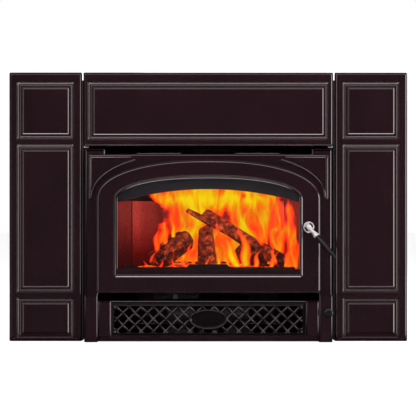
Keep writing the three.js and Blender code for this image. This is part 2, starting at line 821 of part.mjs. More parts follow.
// ---------------------------------------------------------------- lower grille
function buildGrille() {
  const frameWindowHalf = latticeHalf + latticeSlack;
  const windowLow = latticeBottom - latticeSlack;
  const windowHigh = latticeBottom + latticeHeight + latticeSlack;
  const rectangle = (x0, x1, z0, z1) =>
    outline([
      [x0, z0],
      [x1, z0],
      [x1, z1],
      [x0, z1],
    ]);
  let frame = roundedPlate(
    rectangle(-grilleHalf, grilleHalf, grilleBottom, grilleTop),
    grilleBackY,
    grilleFront,
    grilleRound,
  );
  frame = frame.subtract(
    box(-frameWindowHalf, frameWindowHalf, grilleFront - 1, grilleBackY + 1, windowLow, windowHigh),
  );
  const pilaster = roundedPlate(
    rectangle(grilleHalf - pilasterWidth, grilleHalf, pilasterBottom, grilleTop),
    grilleBackY,
    grilleFront - pilasterProud,
    grilleRound,
  );
  frame = union(frame, pilaster, mirrored(pilaster));
  const tabFront = grilleBackY - tabThick;
  const latticeBack = tabFront - gap;
  const latticeFront = latticeBack - latticeThick;
  const corners = [
    [windowLow, 1],
    [windowHigh, -1],
  ];
  corners.forEach(([z, up]) => {
    const zs = [z - up, z + up * cornerTab].sort((a, b) => a - b);
    const tab = box(frameWindowHalf - cornerTab, frameWindowHalf + 1, tabFront, grilleBackY, ...zs);
    frame = union(frame, tab, mirrored(tab));
  });
  const pinY = grilleBackY - grillePinForward;
  const pinEnd = grilleHalf + grillePinLength;
  const pins = round("x", grilleHalf - 8, pinEnd, pinY, grillePinHeight, grillePinRadius);
  frame = union(frame, pins, mirrored(pins));
  piece("grille_frame", frame, enamel);

  // Crossed diagonal bars inside a border; the falling bars stand a little lower than the rising ones.
  const border = box(
    -latticeHalf,
    latticeHalf,
    latticeFront,
    latticeBack,
    latticeBottom,
    latticeBottom + latticeHeight,
  );
  const holeHalf = latticeHalf - latticeBorder;
  const opening = box(
    -holeHalf,
    holeHalf,
    latticeFront - 1,
    latticeBack + 1,
    latticeBottom + latticeBorder,
    latticeBottom + latticeHeight - latticeBorder,
  );
  const middle = latticeBottom + latticeHeight / 2;
  const reach = latticeHeight * 1.6;
  const bars = [];
  const count = Math.ceil((latticeHalf + latticeHeight) / latticePitch);
  for (let i = -count; i <= count; i++) {
    [1, -1].forEach((slope) => {
      const lower = slope > 0 ? 0 : 1;
      const bar = new THREE.BoxGeometry(latticeBar, latticeThick - lower, reach);
      bar.rotateY((slope * Math.PI) / 4);
      const y = (latticeFront + lower + latticeBack) / 2;
      bars.push(solid(bar.translate((i + 0.5) * latticePitch, y, middle)));
    });
  }
  const crossed = bars.reduce((sum, bar) => sum.add(bar)).intersect(opening);
  let lattice = border.subtract(opening).add(crossed);
  corners.forEach(([z, up]) => {
    const edge = z + up * latticeSlack;
    const zs = [edge, edge + up * screwPad].sort((a, b) => a - b);
    const pad = box(latticeHalf - screwPad, latticeHalf, latticeFront, latticeBack, ...zs);
    lattice = union(lattice, pad, mirrored(pad));
  });
  piece("grille_lattice", lattice, enamel);

  const oval = (half, rise, y) => {
    const sides = 28;
    return Array.from({ length: sides }, (unused, i) => {
      const turn = (2 * Math.PI * i) / sides;
      return new THREE.Vector3(half * Math.cos(turn), y, middle + rise * Math.sin(turn));
    });
  };
  const back = latticeFront - gap;
  const medallion = loft(
    [
      oval(medallionHalf, medallionRise, back),
      oval(medallionHalf, medallionRise, back - medallionThick * 0.6),
      oval(medallionHalf - 2, medallionRise - 2, back - medallionThick),
      oval(medallionHalf - medallionRim, medallionRise - medallionRim, back - medallionThick * 0.8),
      oval(
        medallionHalf - medallionRim - 2,
        medallionRise - medallionRim - 2,
        back - medallionThick + medallionDish,
      ),
    ],
    uprightFlat,
  );
  piece("medallion", medallion, enamel);
}

// ---------------------------------------------------------------- casing
function jacketPlan(inset) {
  return [
    [jacketHalf - inset, frameBack + gap],
    [jacketHalf - inset, jacketStraight],
    [jacketRearHalf - inset, jacketDepth - inset],
  ];
}

function buildJacket() {
  const whole = (inset) => {
    const side = jacketPlan(inset);
    return outline([...side, ...side.map(([x, y]) => [-x, y]).reverse()]);
  };
  piece("jacket_base", level(whole(0), 0, baseThick), blackSteel);
  const low = baseThick + gap;
  const high = jacketTop - sheet - gap;
  const outer = jacketPlan(0);
  const inner = jacketPlan(sheet);
  const rearCut = jacketDepth - sheet - gap;
  let side = level(outline([...outer, ...inner.reverse()]), low, high);
  side = side.subtract(box(0, jacketHalf + 1, rearCut, jacketDepth + 1, 0, jacketTop));
  side = side.subtract(box(0, jacketHalf + 1, frameFace, gap, frameTop + cornerBlockRise, jacketTop));
  piece("jacket_right", side, blackSteel);
  piece("jacket_left", mirrored(side), blackSteel);
  const rearHalf = jacketRearHalf - gap;
  piece("jacket_back", box(-rearHalf, rearHalf, jacketDepth - sheet, jacketDepth, low, high), zincSteel);
  let top = level(whole(0), jacketTop - sheet, jacketTop);
  top = top.subtract(box(-jacketHalf - 1, jacketHalf + 1, frameFace, gap, 0, 2 * jacketTop));
  const hole = flueRadius + collarWall + 1;
  top = top.subtract(round("z", 0, 2 * jacketTop, 0, flueFromFront, hole, hole, 24));
  piece("jacket_top", top, blackSteel);
}

// ---------------------------------------------------------------- firebox
// Half-width of the tapered firebox at a depth, a given thickness outside the lining's face.
const wallX = (thickness, y) => liningFrontHalf + thickness * liningStretch - (y - liningFront) * liningSlope;

function wallSlab(inner, outer, y0, y1, z0, z1) {
  const plan = outline([
    [wallX(inner, y0), y0],
    [wallX(outer, y0), y0],
    [wallX(outer, y1), y1],
    [wallX(inner, y1), y1],
  ]);
  return level(plan, z0, z1);
}

function acrossSlab(thickness, y0, y1, z0, z1) {
  const plan = outline([
    [-wallX(thickness, y0), y0],
    [wallX(thickness, y0), y0],
    [wallX(thickness, y1), y1],
    [-wallX(thickness, y1), y1],
  ]);
  return level(plan, z0, z1);
}

function buildFirebox() {
  const front = frameBack + gap;
  const shell = brick + gap;
  const rearInner = liningRear + gap + brick + gap;
  const rearOuter = rearInner + steel;
  const wallLow = fireboxBottom + steel + gap;
  const wallHigh = fireboxTop - steel - gap;
  const floor = acrossSlab(shell + steel, front, rearOuter, fireboxBottom, fireboxBottom + steel);
  piece("firebox_floor", floor, blackSteel);
  const wall = wallSlab(shell, shell + steel, front, rearOuter, wallLow, wallHigh);
  const rear = acrossSlab(shell + steel, rearInner, rearOuter, wallLow, wallHigh);
  piece("firebox_wall", union(wall, mirrored(wall), rear), blackSteel);
  let top = acrossSlab(shell + steel, front, rearOuter, fireboxTop - steel, fireboxTop);
  top = top.subtract(round("z", 0, 2 * fireboxTop, 0, flueFromFront, flueRadius, flueRadius, 24));
  piece("firebox_top", top, blackSteel);

  const floorTop = wallLow + brick;
  piece("brick_floor", acrossSlab(-gap, liningFront, liningRear, wallLow, floorTop), fireBrick);
  const sideBricks = [
    ["front", liningFront, liningSplit - gap],
    ["rear", liningSplit, liningRear],
  ];
  sideBricks.forEach(([place, y0, y1]) => {
    const made = wallSlab(0, brick, y0, y1, wallLow, brickTop);
    piece("brick_right_" + place, made, fireBrick);
    piece("brick_left_" + place, mirrored(made), fireBrick);
  });
  const backBrick = acrossSlab(brick, liningRear + gap, liningRear + gap + brick, wallLow, brickTop);
  piece("brick_back", backBrick, fireBrick);

  // Three cross tubes between two side channels.
  const channel = wallSlab(
    brick - channelWidth,
    shell - gap,
    tubePlaces[0] - 2 * tubeRadius,
    tubePlaces.at(-1) + 2 * tubeRadius,
    tubeHeight - tubeRadius - 1,
    tubeHeight + tubeRadius - 1,
  );
  let manifold = union(channel, mirrored(channel));
  tubePlaces.forEach((y) => {
    const half = wallX(brick - channelWidth / 2, y);
    manifold = manifold.add(round("x", -half, half, y, tubeHeight, tubeRadius));
  });
  piece("air_manifold", manifold, blackSteel);
  const baffleLow = tubeHeight + tubeRadius + gap;
  const baffle = acrossSlab(brick - 4, baffleFront, liningRear + brick - 2, baffleLow, baffleLow + baffleThick);
  piece("baffle_board", baffle, board);

  const collarBase = fireboxTop + gap;
  const collarTop = jacketTop + collarRise;
  const collarProfile = [
    [flueRadius, collarBase],
    [flueRadius + collarFlange, collarBase],
    [flueRadius + collarFlange, collarBase + collarWall],
    [flueRadius + collarWall, collarBase + 2 * collarWall],
    [flueRadius + collarWall, collarTop],
    [flueRadius, collarTop],
    [flueRadius, collarBase],
  ];
  const collar = new THREE.LatheGeometry(
    collarProfile.map(([r, z]) => new THREE.Vector2(r, z)),
    24,
  );
  collar.rotateX(Math.PI / 2).translate(0, flueFromFront, 0);
  piece("flue_collar", solid(collar), blackSteel);

  const guardBack = liningFront + 2 + guardThick;
  const guardLow = floorTop + gap;
  const guardTop = guardLow + guardHeight;
  const guard = outline([
    [-guardHalf, guardLow],
    [guardHalf, guardLow],
    [guardHalf, guardTop],
    [guardTab + 8, guardTop],
    [guardTab, guardTop + guardTabRise],
    [-guardTab, guardTop + guardTabRise],
    [-guardTab - 8, guardTop],
    [-guardHalf, guardTop],
  ]);
  piece("log_guard", upright(guard, guardBack, guardBack - guardThick), blackSteel);
  return { floorTop, guardBack };
}

// ---------------------------------------------------------------- fuel
// An uneven log along a straight line; extra swells it for the seat that it presses into a neighbour.
function log([start, end, startRadius, endRadius, seed], extra = 0) {
  const sides = 9;
  const stations = 5;
  const from = new THREE.Vector3(...start);
  const to = new THREE.Vector3(...end);
  const along = to.clone().sub(from).normalize();
  const side = new THREE.Vector3(0, 0, 1).cross(along).normalize();
  const up = along.clone().cross(side);
  const rings = [];
  for (let s = 0; s <= stations; s++) {
    const share = s / stations;
    const centre = from.clone().lerp(to, share);
    const reach = extra * (s === 0 ? -1 : s === stations ? 1 : 0);
    centre.addScaledVector(along, reach);
    centre.addScaledVector(up, 3 * Math.sin(Math.PI * share + seed));
    const radius = THREE.MathUtils.lerp(startRadius, endRadius, share) + extra;
    const ring = [];
    for (let i = 0; i < sides; i++) {
      const turn = (2 * Math.PI * i) / sides;
      const uneven = 1 + 0.09 * Math.sin(3 * turn + seed) + 0.05 * Math.cos(5 * turn + 2 * seed + share);
      const point = centre.clone();
      point.addScaledVector(side, radius * uneven * Math.cos(turn));
      point.addScaledVector(up, radius * uneven * Math.sin(turn));
      ring.push(point);
    }
    rings.push(ring);
  }
  return loft(rings, (p) => {
    const flatPoint = p.clone().sub(from);
    return new THREE.Vector2(flatPoint.dot(side), flatPoint.dot(up));
  });
}

// Closed bed of embers: a heaped grid over a flat underside.
function emberBed(low, front) {
  const columns = 14;
  const rows = 9;
  const back = liningRear - 12;
  const points = [];
  const heights = (u, v, x, y) => {
    const heap = 0.45 + 0.55 * Math.sin(Math.PI * u) ** 0.7 * Math.sin(Math.PI * Math.min(1, v + 0.18)) ** 0.5;
    const lumps = 0.1 * Math.sin(0.061 * x + 0.9 * v) + 0.08 * Math.cos(0.083 * y + 0.031 * x);
    return low + emberHeight * (heap + lumps);
  };
  for (let r = 0; r <= rows; r++) {
    for (let c = 0; c <= columns; c++) {
      const u = c / columns;
      const v = r / rows;
      const y = THREE.MathUtils.lerp(front, back, v);
      const half = wallX(-emberInset, y);
      const x = THREE.MathUtils.lerp(-half, half, u);
      points.push(new THREE.Vector3(x, y, heights(u, v, x, y)));
    }
  }
  const total = points.length;
  points.slice().forEach((p) => points.push(new THREE.Vector3(p.x, p.y, low)));
  const faces = [];
  const at = (r, c) => r * (columns + 1) + c;
  const quad = (a, b, c, d) => faces.push(a, b, c, a, c, d);
  for (let r = 0; r < rows; r++) {
    for (let c = 0; c < columns; c++) {
      quad(at(r, c), at(r, c + 1), at(r + 1, c + 1), at(r + 1, c));
      quad(total + at(r, c), total + at(r + 1, c), total + at(r + 1, c + 1), total + at(r, c + 1));
    }
  }
  const wall = (a, b) => quad(a, total + a, total + b, b);
  for (let c = 0; c < columns; c++) {
    wall(at(0, c), at(0, c + 1));
    wall(at(rows, c + 1), at(rows, c));
  }
  for (let r = 0; r < rows; r++) {
    wall(at(r + 1, 0), at(r, 0));
    wall(at(r, columns), at(r + 1, columns));
  }
  const geometry = new THREE.BufferGeometry().setFromPoints(points);
  geometry.setIndex(faces);
  return solid(geometry);
}

function buildFuel({ floorTop, guardBack }) {
  const bed = floorTop + gap;
  // Each log: lower end, upper end, the radii there, and a seed for its bark. Places are shares of the lining's
  // half-width in front, of its depth and of its height over the bed; radii are shares of logRadius.
  const place = ([x, y, z]) => [x * liningFrontHalf, y * liningRear, bed + z * (brickTop - bed)];
  const logs = [
    [[-0.561, 0.143, 0.154], [-0.237, 0.364, 0.487], 1.1, 1.03, 0.4],
    [[-0.008, 0.125, 0.135], [-0.023, 0.454, 0.608], 0.97, 0.7, 1.7],
    [[0.824, 0.084, 0.145], [-0.034, 0.501, 0.824], 0.67, 0.6, 2.6],
    [[0.237, 0.37, 0.588], [-0.24, 0.436, 0.863], 0.47, 0.23, 3.9],
    [[0.542, 0.119, 0.183], [0.389, 0.642, 0.251], 0.93, 0.87, 5.2],
  ].map(([start, end, from, to, seed]) => [place(start), place(end), from * logRadius, to * logRadius, seed]);
  let embers = emberBed(bed, guardBack + 3);
  logs.forEach((sizes) => {
    embers = embers.subtract(log(sizes, gap));
  });
  const parts = embers.decompose();
  parts.sort((a, b) => b.volume() - a.volume());
  piece("ember_bed", parts[0], ember);
  // A log is notched where a log that lies on it presses in.
  const settled = logs.map((sizes) => log(sizes));
  const rests = [
    [0, 1],
    [4, 2],
    [1, 2],
    [2, 3],
    [1, 3],
  ];
  rests.forEach(([under, over]) => {
    settled[under] = settled[under].subtract(log(logs[over], gap));
  });
  settled.forEach((made, i) => piece("log_" + (i + 1), made, bark));
}

// ---------------------------------------------------------------- air control
function buildAirControl() {
  const x0 = airCentre - airBoxHalf;
  const x1 = airCentre + airBoxHalf;
  const top = fireboxBottom - gap;
  const trackHalf = slideHalf + slideTravel + 5;
  const airBox = box(x0, x1, airBoxFront, airBoxFront + airBoxLength, top - airBoxDrop, top);
  const track = box(
    airCentre - trackHalf,
    airCentre + trackHalf,
    airBoxFront - 1,
    airBoxFront + airBoxLength - 15,
    slideHeight - gap,
    slideHeight + slideThick + gap,
  );
  const port = round("z", 0, fireboxTop, airCentre, airBoxFront + airBoxLength / 2, airPort);
  piece("air_box", airBox.subtract(track).subtract(port), blackSteel);
  const shutter = box(
    airCentre - slideHalf,
    airCentre + slideHalf,
    airBoxFront + 2,
    airBoxFront + airBoxLength - 17,
    slideHeight,
    slideHeight + slideThick,
  );
  const leverHalf = leverWidth / 2;
  const lever = box(
    airCentre - leverHalf,
    airCentre + leverHalf,
    -leverFront,
    airBoxFront + 3,
    slideHeight,
    slideHeight + slideThick,
  );
  const tab = box(
    airCentre - leverHalf,
    airCentre + leverHalf,
    -leverFront,
    3 - leverFront,
    slideHeight + slideTab[0],
    slideHeight + slideTab[1],
  );
  piece("air_slide", union(shutter, lever, tab), blackSteel);
}

// ---------------------------------------------------------------- blower
function scroll(extra) {
  const shape = new THREE.Shape();
  const steps = 18;
  const sweep = 1.5 * Math.PI;
  const first = -Math.PI / 2;
  for (let i = 0; i <= steps; i++) {
    const turn = first - (sweep * i) / steps;
    const radius = THREE.MathUtils.lerp(voluteStart, voluteEnd, i / steps) + extra;
    const point = [blowerDepth + radius * Math.cos(turn), blowerHeight + radius * Math.sin(turn)];
    if (i === 0) shape.moveTo(...point);
    else shape.lineTo(...point);
  }
  const mouth = blowerDepth + mouthReach;
  shape.lineTo(mouth, blowerHeight + extra);
  shape.lineTo(mouth, blowerHeight - voluteStart - extra);
  return shape;
}

function wheel(x0, x1) {
  const middle = (x0 + x1) / 2;
  const inner = wheelRadius - 8;
  const rimRing = (a, b) => {
    const rim = round("x", a, b, blowerDepth, blowerHeight, wheelRadius, wheelRadius, 16);
    return rim.subtract(round("x", a - 1, b + 1, blowerDepth, blowerHeight, inner, inner, 16));
  };
  const disc = round("x", middle - 1, middle + 1, blowerDepth, blowerHeight, wheelRadius, wheelRadius, 16);
  const boss = round("x", middle - 8, middle + 8, blowerDepth, blowerHeight, shaftRadius + 4);
  let made = union(rimRing(x0, x0 + 2), rimRing(x1 - 2, x1), disc, boss);
  for (let i = 0; i < bladeCount; i++) {
    const blade = new THREE.BoxGeometry(wheelWidth - 1, bladeThick, bladeChord);
    blade.rotateX(-bladeTilt).translate(0, 0, (wheelRadius + inner) / 2);
    blade.rotateX((2 * Math.PI * i) / bladeCount).translate(middle, blowerDepth, blowerHeight);
    made = made.add(solid(blade));
  }
  return made.subtract(round("x", x0 - 1, x1 + 1, blowerDepth, blowerHeight, shaftRadius + gap));
}

function buildBlower() {
  const trayLow = baseThick + gap;
  const trayTop = trayLow + trayThick;
  const housing0 = motorHalf + 8;
  const wheel0 = housing0 + voluteWall + voluteGap;
  const wheel1 = wheel0 + wheelWidth;
  const housing1 = wheel1 + voluteGap + voluteWall;
  const shaftHalf = wheel0 + wheelWidth / 2 + 10;
  piece("blower_shaft", round("x", -shaftHalf, shaftHalf, blowerDepth, blowerHeight, shaftRadius), zincSteel);
  piece("blower_wheel_right", wheel(wheel0, wheel1), zincSteel);
  piece("blower_wheel_left", wheel(-wheel1, -wheel0), zincSteel);

  let volute = sideways(scroll(voluteWall), housing0, housing1);
  volute = volute.subtract(sideways(scroll(0), housing0 + voluteWall, housing1 - voluteWall));
  const mouthCut = blowerDepth + mouthReach - voluteWall - 1;
  const mouthLow = blowerHeight - voluteStart;
  volute = volute.subtract(
    box(housing0 + voluteWall, housing1 - voluteWall, mouthCut, mouthCut + 9, mouthLow, blowerHeight),
  );
  volute = volute.subtract(
    round("x", housing0 - 1, housing1 + 1, blowerDepth, blowerHeight, inletRadius, inletRadius, 18),
  );
  const footTop = blowerHeight - voluteStart;
  const footDepths = [blowerDepth + footStart, blowerDepth + footEnd];
  const foot = box(housing0, housing1, ...footDepths, trayTop + gap, footTop - 1);
  volute = volute.add(foot);
  piece("blower_housing_right", volute, zincSteel);
  piece("blower_housing_left", mirrored(volute), zincSteel);

  const motorBore = shaftRadius + runClearance;
  let motor = round("x", -motorHalf, motorHalf, blowerDepth, blowerHeight, motorRadius, motorRadius, 20);
  motor = motor.subtract(
    round("x", -motorHalf - 1, motorHalf + 1, blowerDepth, blowerHeight, motorBore),
  );
  piece("blower_motor", motor, blackSteel);
  const trayEnd = housing1 + 6;
  let tray = box(-trayEnd, trayEnd, blowerDepth - trayFront, blowerDepth + trayRear, trayLow, trayTop);
  [-1, 1].forEach((side) => {
    const x = side * (motorHalf - 12);
    const cradle = [x - cradleHalf, x + cradleHalf, blowerDepth - trayFront / 2, blowerDepth + trayFront / 2];
    tray = tray.add(box(...cradle, trayLow + 1, blowerHeight - motorRadius / 2));
  });
  const seat = motorRadius + gap;
  tray = tray.subtract(
    round("x", -motorHalf - 1, motorHalf + 1, blowerDepth, blowerHeight, seat, seat, 20),
  );
  piece("blower_tray", tray, zincSteel);

  // Speed control behind the right leg, its knob in front.
  const wallBack = legFront + legWall;
  const knobBack = legFront - gap;
  const halfSize = rheostatSize / 2;
  const shaftBore = knobShaftRadius + runClearance;
  piece(
    "rheostat",
    box(
      Math.max(knobX - halfSize, legInner + legWall + gap),
      frameHalf - flangeThick - gap,
      wallBack + gap,
      wallBack + gap + rheostatDepth,
      knobHeight - halfSize,
      knobHeight + halfSize,
    ).subtract(
      round("y", wallBack - 1, wallBack + knobShaftReach + 2, knobX, knobHeight, shaftBore),
    ),
    blackGrip,
  );
  const skirt = round("y", knobBack - knobDepth * 0.3, knobBack, knobX, knobHeight, knobRadius, knobRadius, 20);
  const cap = round(
    "y",
    knobBack - knobDepth,
    knobBack - knobDepth * 0.2,
    knobX,
    knobHeight,
    knobRadius * 0.72,
    knobRadius * 0.86,
    20,
  );
  const stem = round("y", knobBack - 2, wallBack + knobShaftReach, knobX, knobHeight, knobShaftRadius);
  const pointer = box(
    knobX - pointerWidth / 2,
    knobX + pointerWidth / 2,
    knobBack - knobDepth - pointerProud,
    knobBack - knobDepth + 2,
    knobHeight + 1,
    knobHeight + knobRadius * 0.6,
  );
  piece("speed_knob", union(skirt, cap, stem, pointer), blackGrip);
}

buildSurround();
buildFrontFrame();
buildDoor();
buildHandle();
buildGrille();
buildJacket();
buildFuel(buildFirebox());
buildAirControl();
buildBlower();

export default insert;
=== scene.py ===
import json
import math

import bmesh
import bpy
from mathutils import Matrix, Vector, geometry, noise


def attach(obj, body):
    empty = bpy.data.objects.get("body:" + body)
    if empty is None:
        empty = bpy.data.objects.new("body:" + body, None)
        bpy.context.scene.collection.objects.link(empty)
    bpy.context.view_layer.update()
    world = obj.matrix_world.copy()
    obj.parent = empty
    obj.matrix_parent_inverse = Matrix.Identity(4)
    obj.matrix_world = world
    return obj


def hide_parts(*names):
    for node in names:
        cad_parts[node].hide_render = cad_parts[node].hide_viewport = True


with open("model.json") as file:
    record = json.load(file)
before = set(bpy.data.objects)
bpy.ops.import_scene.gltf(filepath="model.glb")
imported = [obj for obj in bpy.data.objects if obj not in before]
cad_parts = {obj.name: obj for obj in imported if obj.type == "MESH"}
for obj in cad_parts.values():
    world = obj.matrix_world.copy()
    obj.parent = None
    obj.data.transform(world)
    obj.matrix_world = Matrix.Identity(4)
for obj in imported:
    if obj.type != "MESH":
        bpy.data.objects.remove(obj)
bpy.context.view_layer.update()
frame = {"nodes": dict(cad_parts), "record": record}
nodes = frame["nodes"]
MM = 0.001
TURN = 2 * math.pi

# -------- camera
camera = bpy.data.objects.new("camera", bpy.data.cameras.new("camera"))
bpy.context.scene.collection.objects.link(camera)
camera.location = (-0.0008, -3.23, 0.368)
camera.rotation_euler = (math.pi / 2, 0, 0)
camera.data.sensor_fit = "HORIZONTAL"
camera.data.sensor_width = 36
camera.data.lens = 100.40
camera.data.dof.use_dof = False
bpy.context.scene.camera = camera
bpy.context.scene.view_settings.view_transform = "Standard"


# -------- node helpers
def new_material(name):
    mat = bpy.data.materials.new(name)
    mat.use_nodes = True
    tree = mat.node_tree
    tree.nodes.clear()
    return mat, tree, tree.nodes.new("ShaderNodeOutputMaterial")


def put(tree, socket, value):
    """Sets an input, or links it where the value is another node's output."""
    if isinstance(value, bpy.types.NodeSocket):
        tree.links.new(value, socket)
    else:
        socket.default_value = value


def add(tree, kind, *feeds, **values):
    """A node; feeds go to its first inputs in order, values to its inputs or settings by name."""
    node = tree.nodes.new(kind)
    for key, value in values.items():
        if key in node.inputs:
            put(tree, node.inputs[key], value)
        else:
            setattr(node, key, value)
    for socket, value in zip(node.inputs, feeds):
        put(tree, socket, value)
    return node


def maths(tree, operation, *feeds):
    return add(tree, "ShaderNodeMath", *feeds, operation=operation).outputs[0]


def ramp(tree, source, stops):
    node = add(tree, "ShaderNodeValToRGB", source)
    elements = node.color_ramp.elements
    while len(elements) < len(stops):
        elements.new(0.5)
    for element, (place, color) in zip(elements, stops):
        element.position = place
        element.color = (*color, 1)
    return node.outputs["Color"]


def ranged(tree, source, low, high, start=0.0, end=1.0, kind="LINEAR"):
    """A level that goes from start to end as the source passes from low to high."""
    node = add(tree, "ShaderNodeMapRange", source, low, high, start, end, interpolation_type=kind)
    return node.outputs["Result"]


def zone(tree, source, low, high, start=0.0, end=1.0):
    return ranged(tree, source, low, high, start, end, "SMOOTHSTEP")


def blend(tree, share, a, b, kind="MIX"):
    """A mix of two colours."""
    node = add(tree, "ShaderNodeMix", share, data_type="RGBA", blend_type=kind)
    put(tree, node.inputs[6], a)
    put(tree, node.inputs[7], b)
    return node.outputs[2]


def axes(tree, kind="Object"):
    """The x, y and z of a texture coordinate."""
    return add(tree, "ShaderNodeSeparateXYZ", add(tree, "ShaderNodeTexCoord").outputs[kind]).outputs


def noise_at(tree, scale, detail=4, stretch=(1, 1, 1), rough=0.55):
    coord = add(tree, "ShaderNodeTexCoord").outputs["Object"]
    mapped = add(tree, "ShaderNodeMapping", coord, Scale=stretch).outputs["Vector"]
    return add(tree, "ShaderNodeTexNoise", mapped, Scale=scale, Detail=detail, Roughness=rough).outputs["Fac"]


def relief(tree, shader, height, strength, distance):
    bump = add(tree, "ShaderNodeBump", Height=height, Strength=strength, Distance=distance)
    tree.links.new(bump.outputs["Normal"], shader.inputs["Normal"])


def principled(name, **values):
    mat, tree, out = new_material(name)
    shader = add(tree, "ShaderNodeBsdfPrincipled", **values)
    tree.links.new(shader.outputs["BSDF"], out.inputs["Surface"])
    return mat, tree, shader


def surface(name, dark, light, rough, scale, fine, bump, bump_depth, metallic=0.0, ior=1.5, coat=0.0, coat_rough=0.06):
    """A painted, coated, cast or mineral surface: two tones, uneven roughness and a fine relief."""
    mat, tree, shader = principled(name, Metallic=metallic, IOR=ior)
    shader.inputs["Coat Weight"].default_value = coat
    shader.inputs["Coat Roughness"].default_value = coat_rough
    broad = noise_at(tree, scale, 5)
    put(tree, shader.inputs["Base Color"], ramp(tree, broad, [(0.3, dark), (0.7, light)]))
    put(tree, shader.inputs["Roughness"], ranged(tree, broad, 0, 1, *rough))
    relief(tree, shader, noise_at(tree, fine, 3), bump, bump_depth)
    return mat


def enamelled(name):
    """Very dark brown, glossy enamel on cast iron."""
    dark, light = (0.0120, 0.0033, 0.0060), (0.0185, 0.0051, 0.0088)
    return surface(name, dark, light, (0.09, 0.15), 9, 55, 0.10, 0.0005, ior=1.75, coat=0.8, coat_rough=0.03)


def bare_iron_and_painted_reflection(mat):
    """Leaves the enamel off where the casting lies behind the door: dull iron, its blue-grey tone a painted reflection.
    """
    half, spring, height, power, sill = 0.292, 0.39, 0.094, 2.3, 0.15
    tree = mat.node_tree
    shader = next(n for n in tree.nodes if n.type == "BSDF_PRINCIPLED")
    color, rough = (shader.inputs[key].links[0].from_socket for key in ("Base Color", "Roughness"))
    x, _, z = axes(tree)
    across = maths(tree, "POWER", maths(tree, "ABSOLUTE", maths(tree, "MULTIPLY", x, 1 / half)), power)
    rise = maths(tree, "MULTIPLY", maths(tree, "MAXIMUM", maths(tree, "SUBTRACT", z, spring), 0.0), 1 / height)
    inside = maths(tree, "LESS_THAN", maths(tree, "ADD", across, maths(tree, "POWER", rise, power)), 1.0)
    mask = maths(tree, "MULTIPLY", inside, maths(tree, "GREATER_THAN", z, sill))
    # bare iron colour; its blue-grey tone is a painted reflection of the light falling there
    grain = ramp(tree, noise_at(tree, 260, 4), [(0.3, (0.021, 0.020, 0.029)), (0.7, (0.034, 0.031, 0.045))])
    put(tree, shader.inputs["Base Color"], blend(tree, mask, color, grain))
    put(tree, shader.inputs["Roughness"], maths(tree, "MAXIMUM", rough, maths(tree, "MULTIPLY", mask, 0.7)))
    return mat


enamel = enamelled("enamel")
enamel_outside = bare_iron_and_painted_reflection(enamelled("enamel_outside"))
dark_enamel = surface("dark_enamel", (0.0030, 0.0016, 0.0026), (0.0052, 0.0028, 0.0044), (0.12, 0.2), 14, 70, 0.08,
                      0.0004, ior=1.6, coat=0.4, coat_rough=0.05)
black_steel = surface("black_steel", (0.010, 0.010, 0.011), (0.022, 0.021, 0.021), (0.45, 0.62), 14, 900, 0.25, 0.0003)
zinc_steel = surface("zinc_steel", (0.13, 0.135, 0.14), (0.26, 0.265, 0.27), (0.32, 0.5), 22, 160, 0.08, 0.0003,
                     metallic=0.9)
nickel = surface("nickel", (0.86, 0.83, 0.83), (0.96, 0.93, 0.93), (0.24, 0.34), 40, 300, 0.05, 0.0002, metallic=0.55)
black_grip = surface("black_grip", (0.004, 0.004, 0.005), (0.009, 0.009, 0.010), (0.22, 0.34), 60, 900, 0.1, 0.0002)
knob_black = surface("knob_black", (0.0060, 0.0060, 0.0065), (0.0110, 0.0110, 0.0120), (0.10, 0.18), 30, 120, 0.06,
                     0.0003, ior=1.6, coat=0.9, coat_rough=0.04)
board = surface("board", (0.20, 0.17, 0.13), (0.42, 0.36, 0.28), (0.85, 0.98), 18, 500, 0.5, 0.001)


# -------- mesh helpers
def make(name, verts, faces, mat, body, replaces=(), sharp=38):
    """A closed mesh drawn in millimetres that rides on a body."""
    mesh = bpy.data.meshes.new(name)
    mesh.from_pydata([Vector(v) * MM for v in verts], [], faces)
    mesh.validate()
    made = bpy.data.objects.new(name, mesh)
    bpy.context.scene.collection.objects.link(made)
    mesh.materials.append(mat)
    mesh.shade_smooth()
    mesh.set_sharp_from_angle(angle=math.radians(sharp))
    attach(made, body)
    if replaces:
        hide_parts(*replaces)
    return made


def hide(made, *rays):
    """Keeps a thing out of the named kinds of rays."""
    for kind in rays:
        setattr(made, "visible_" + kind, False)


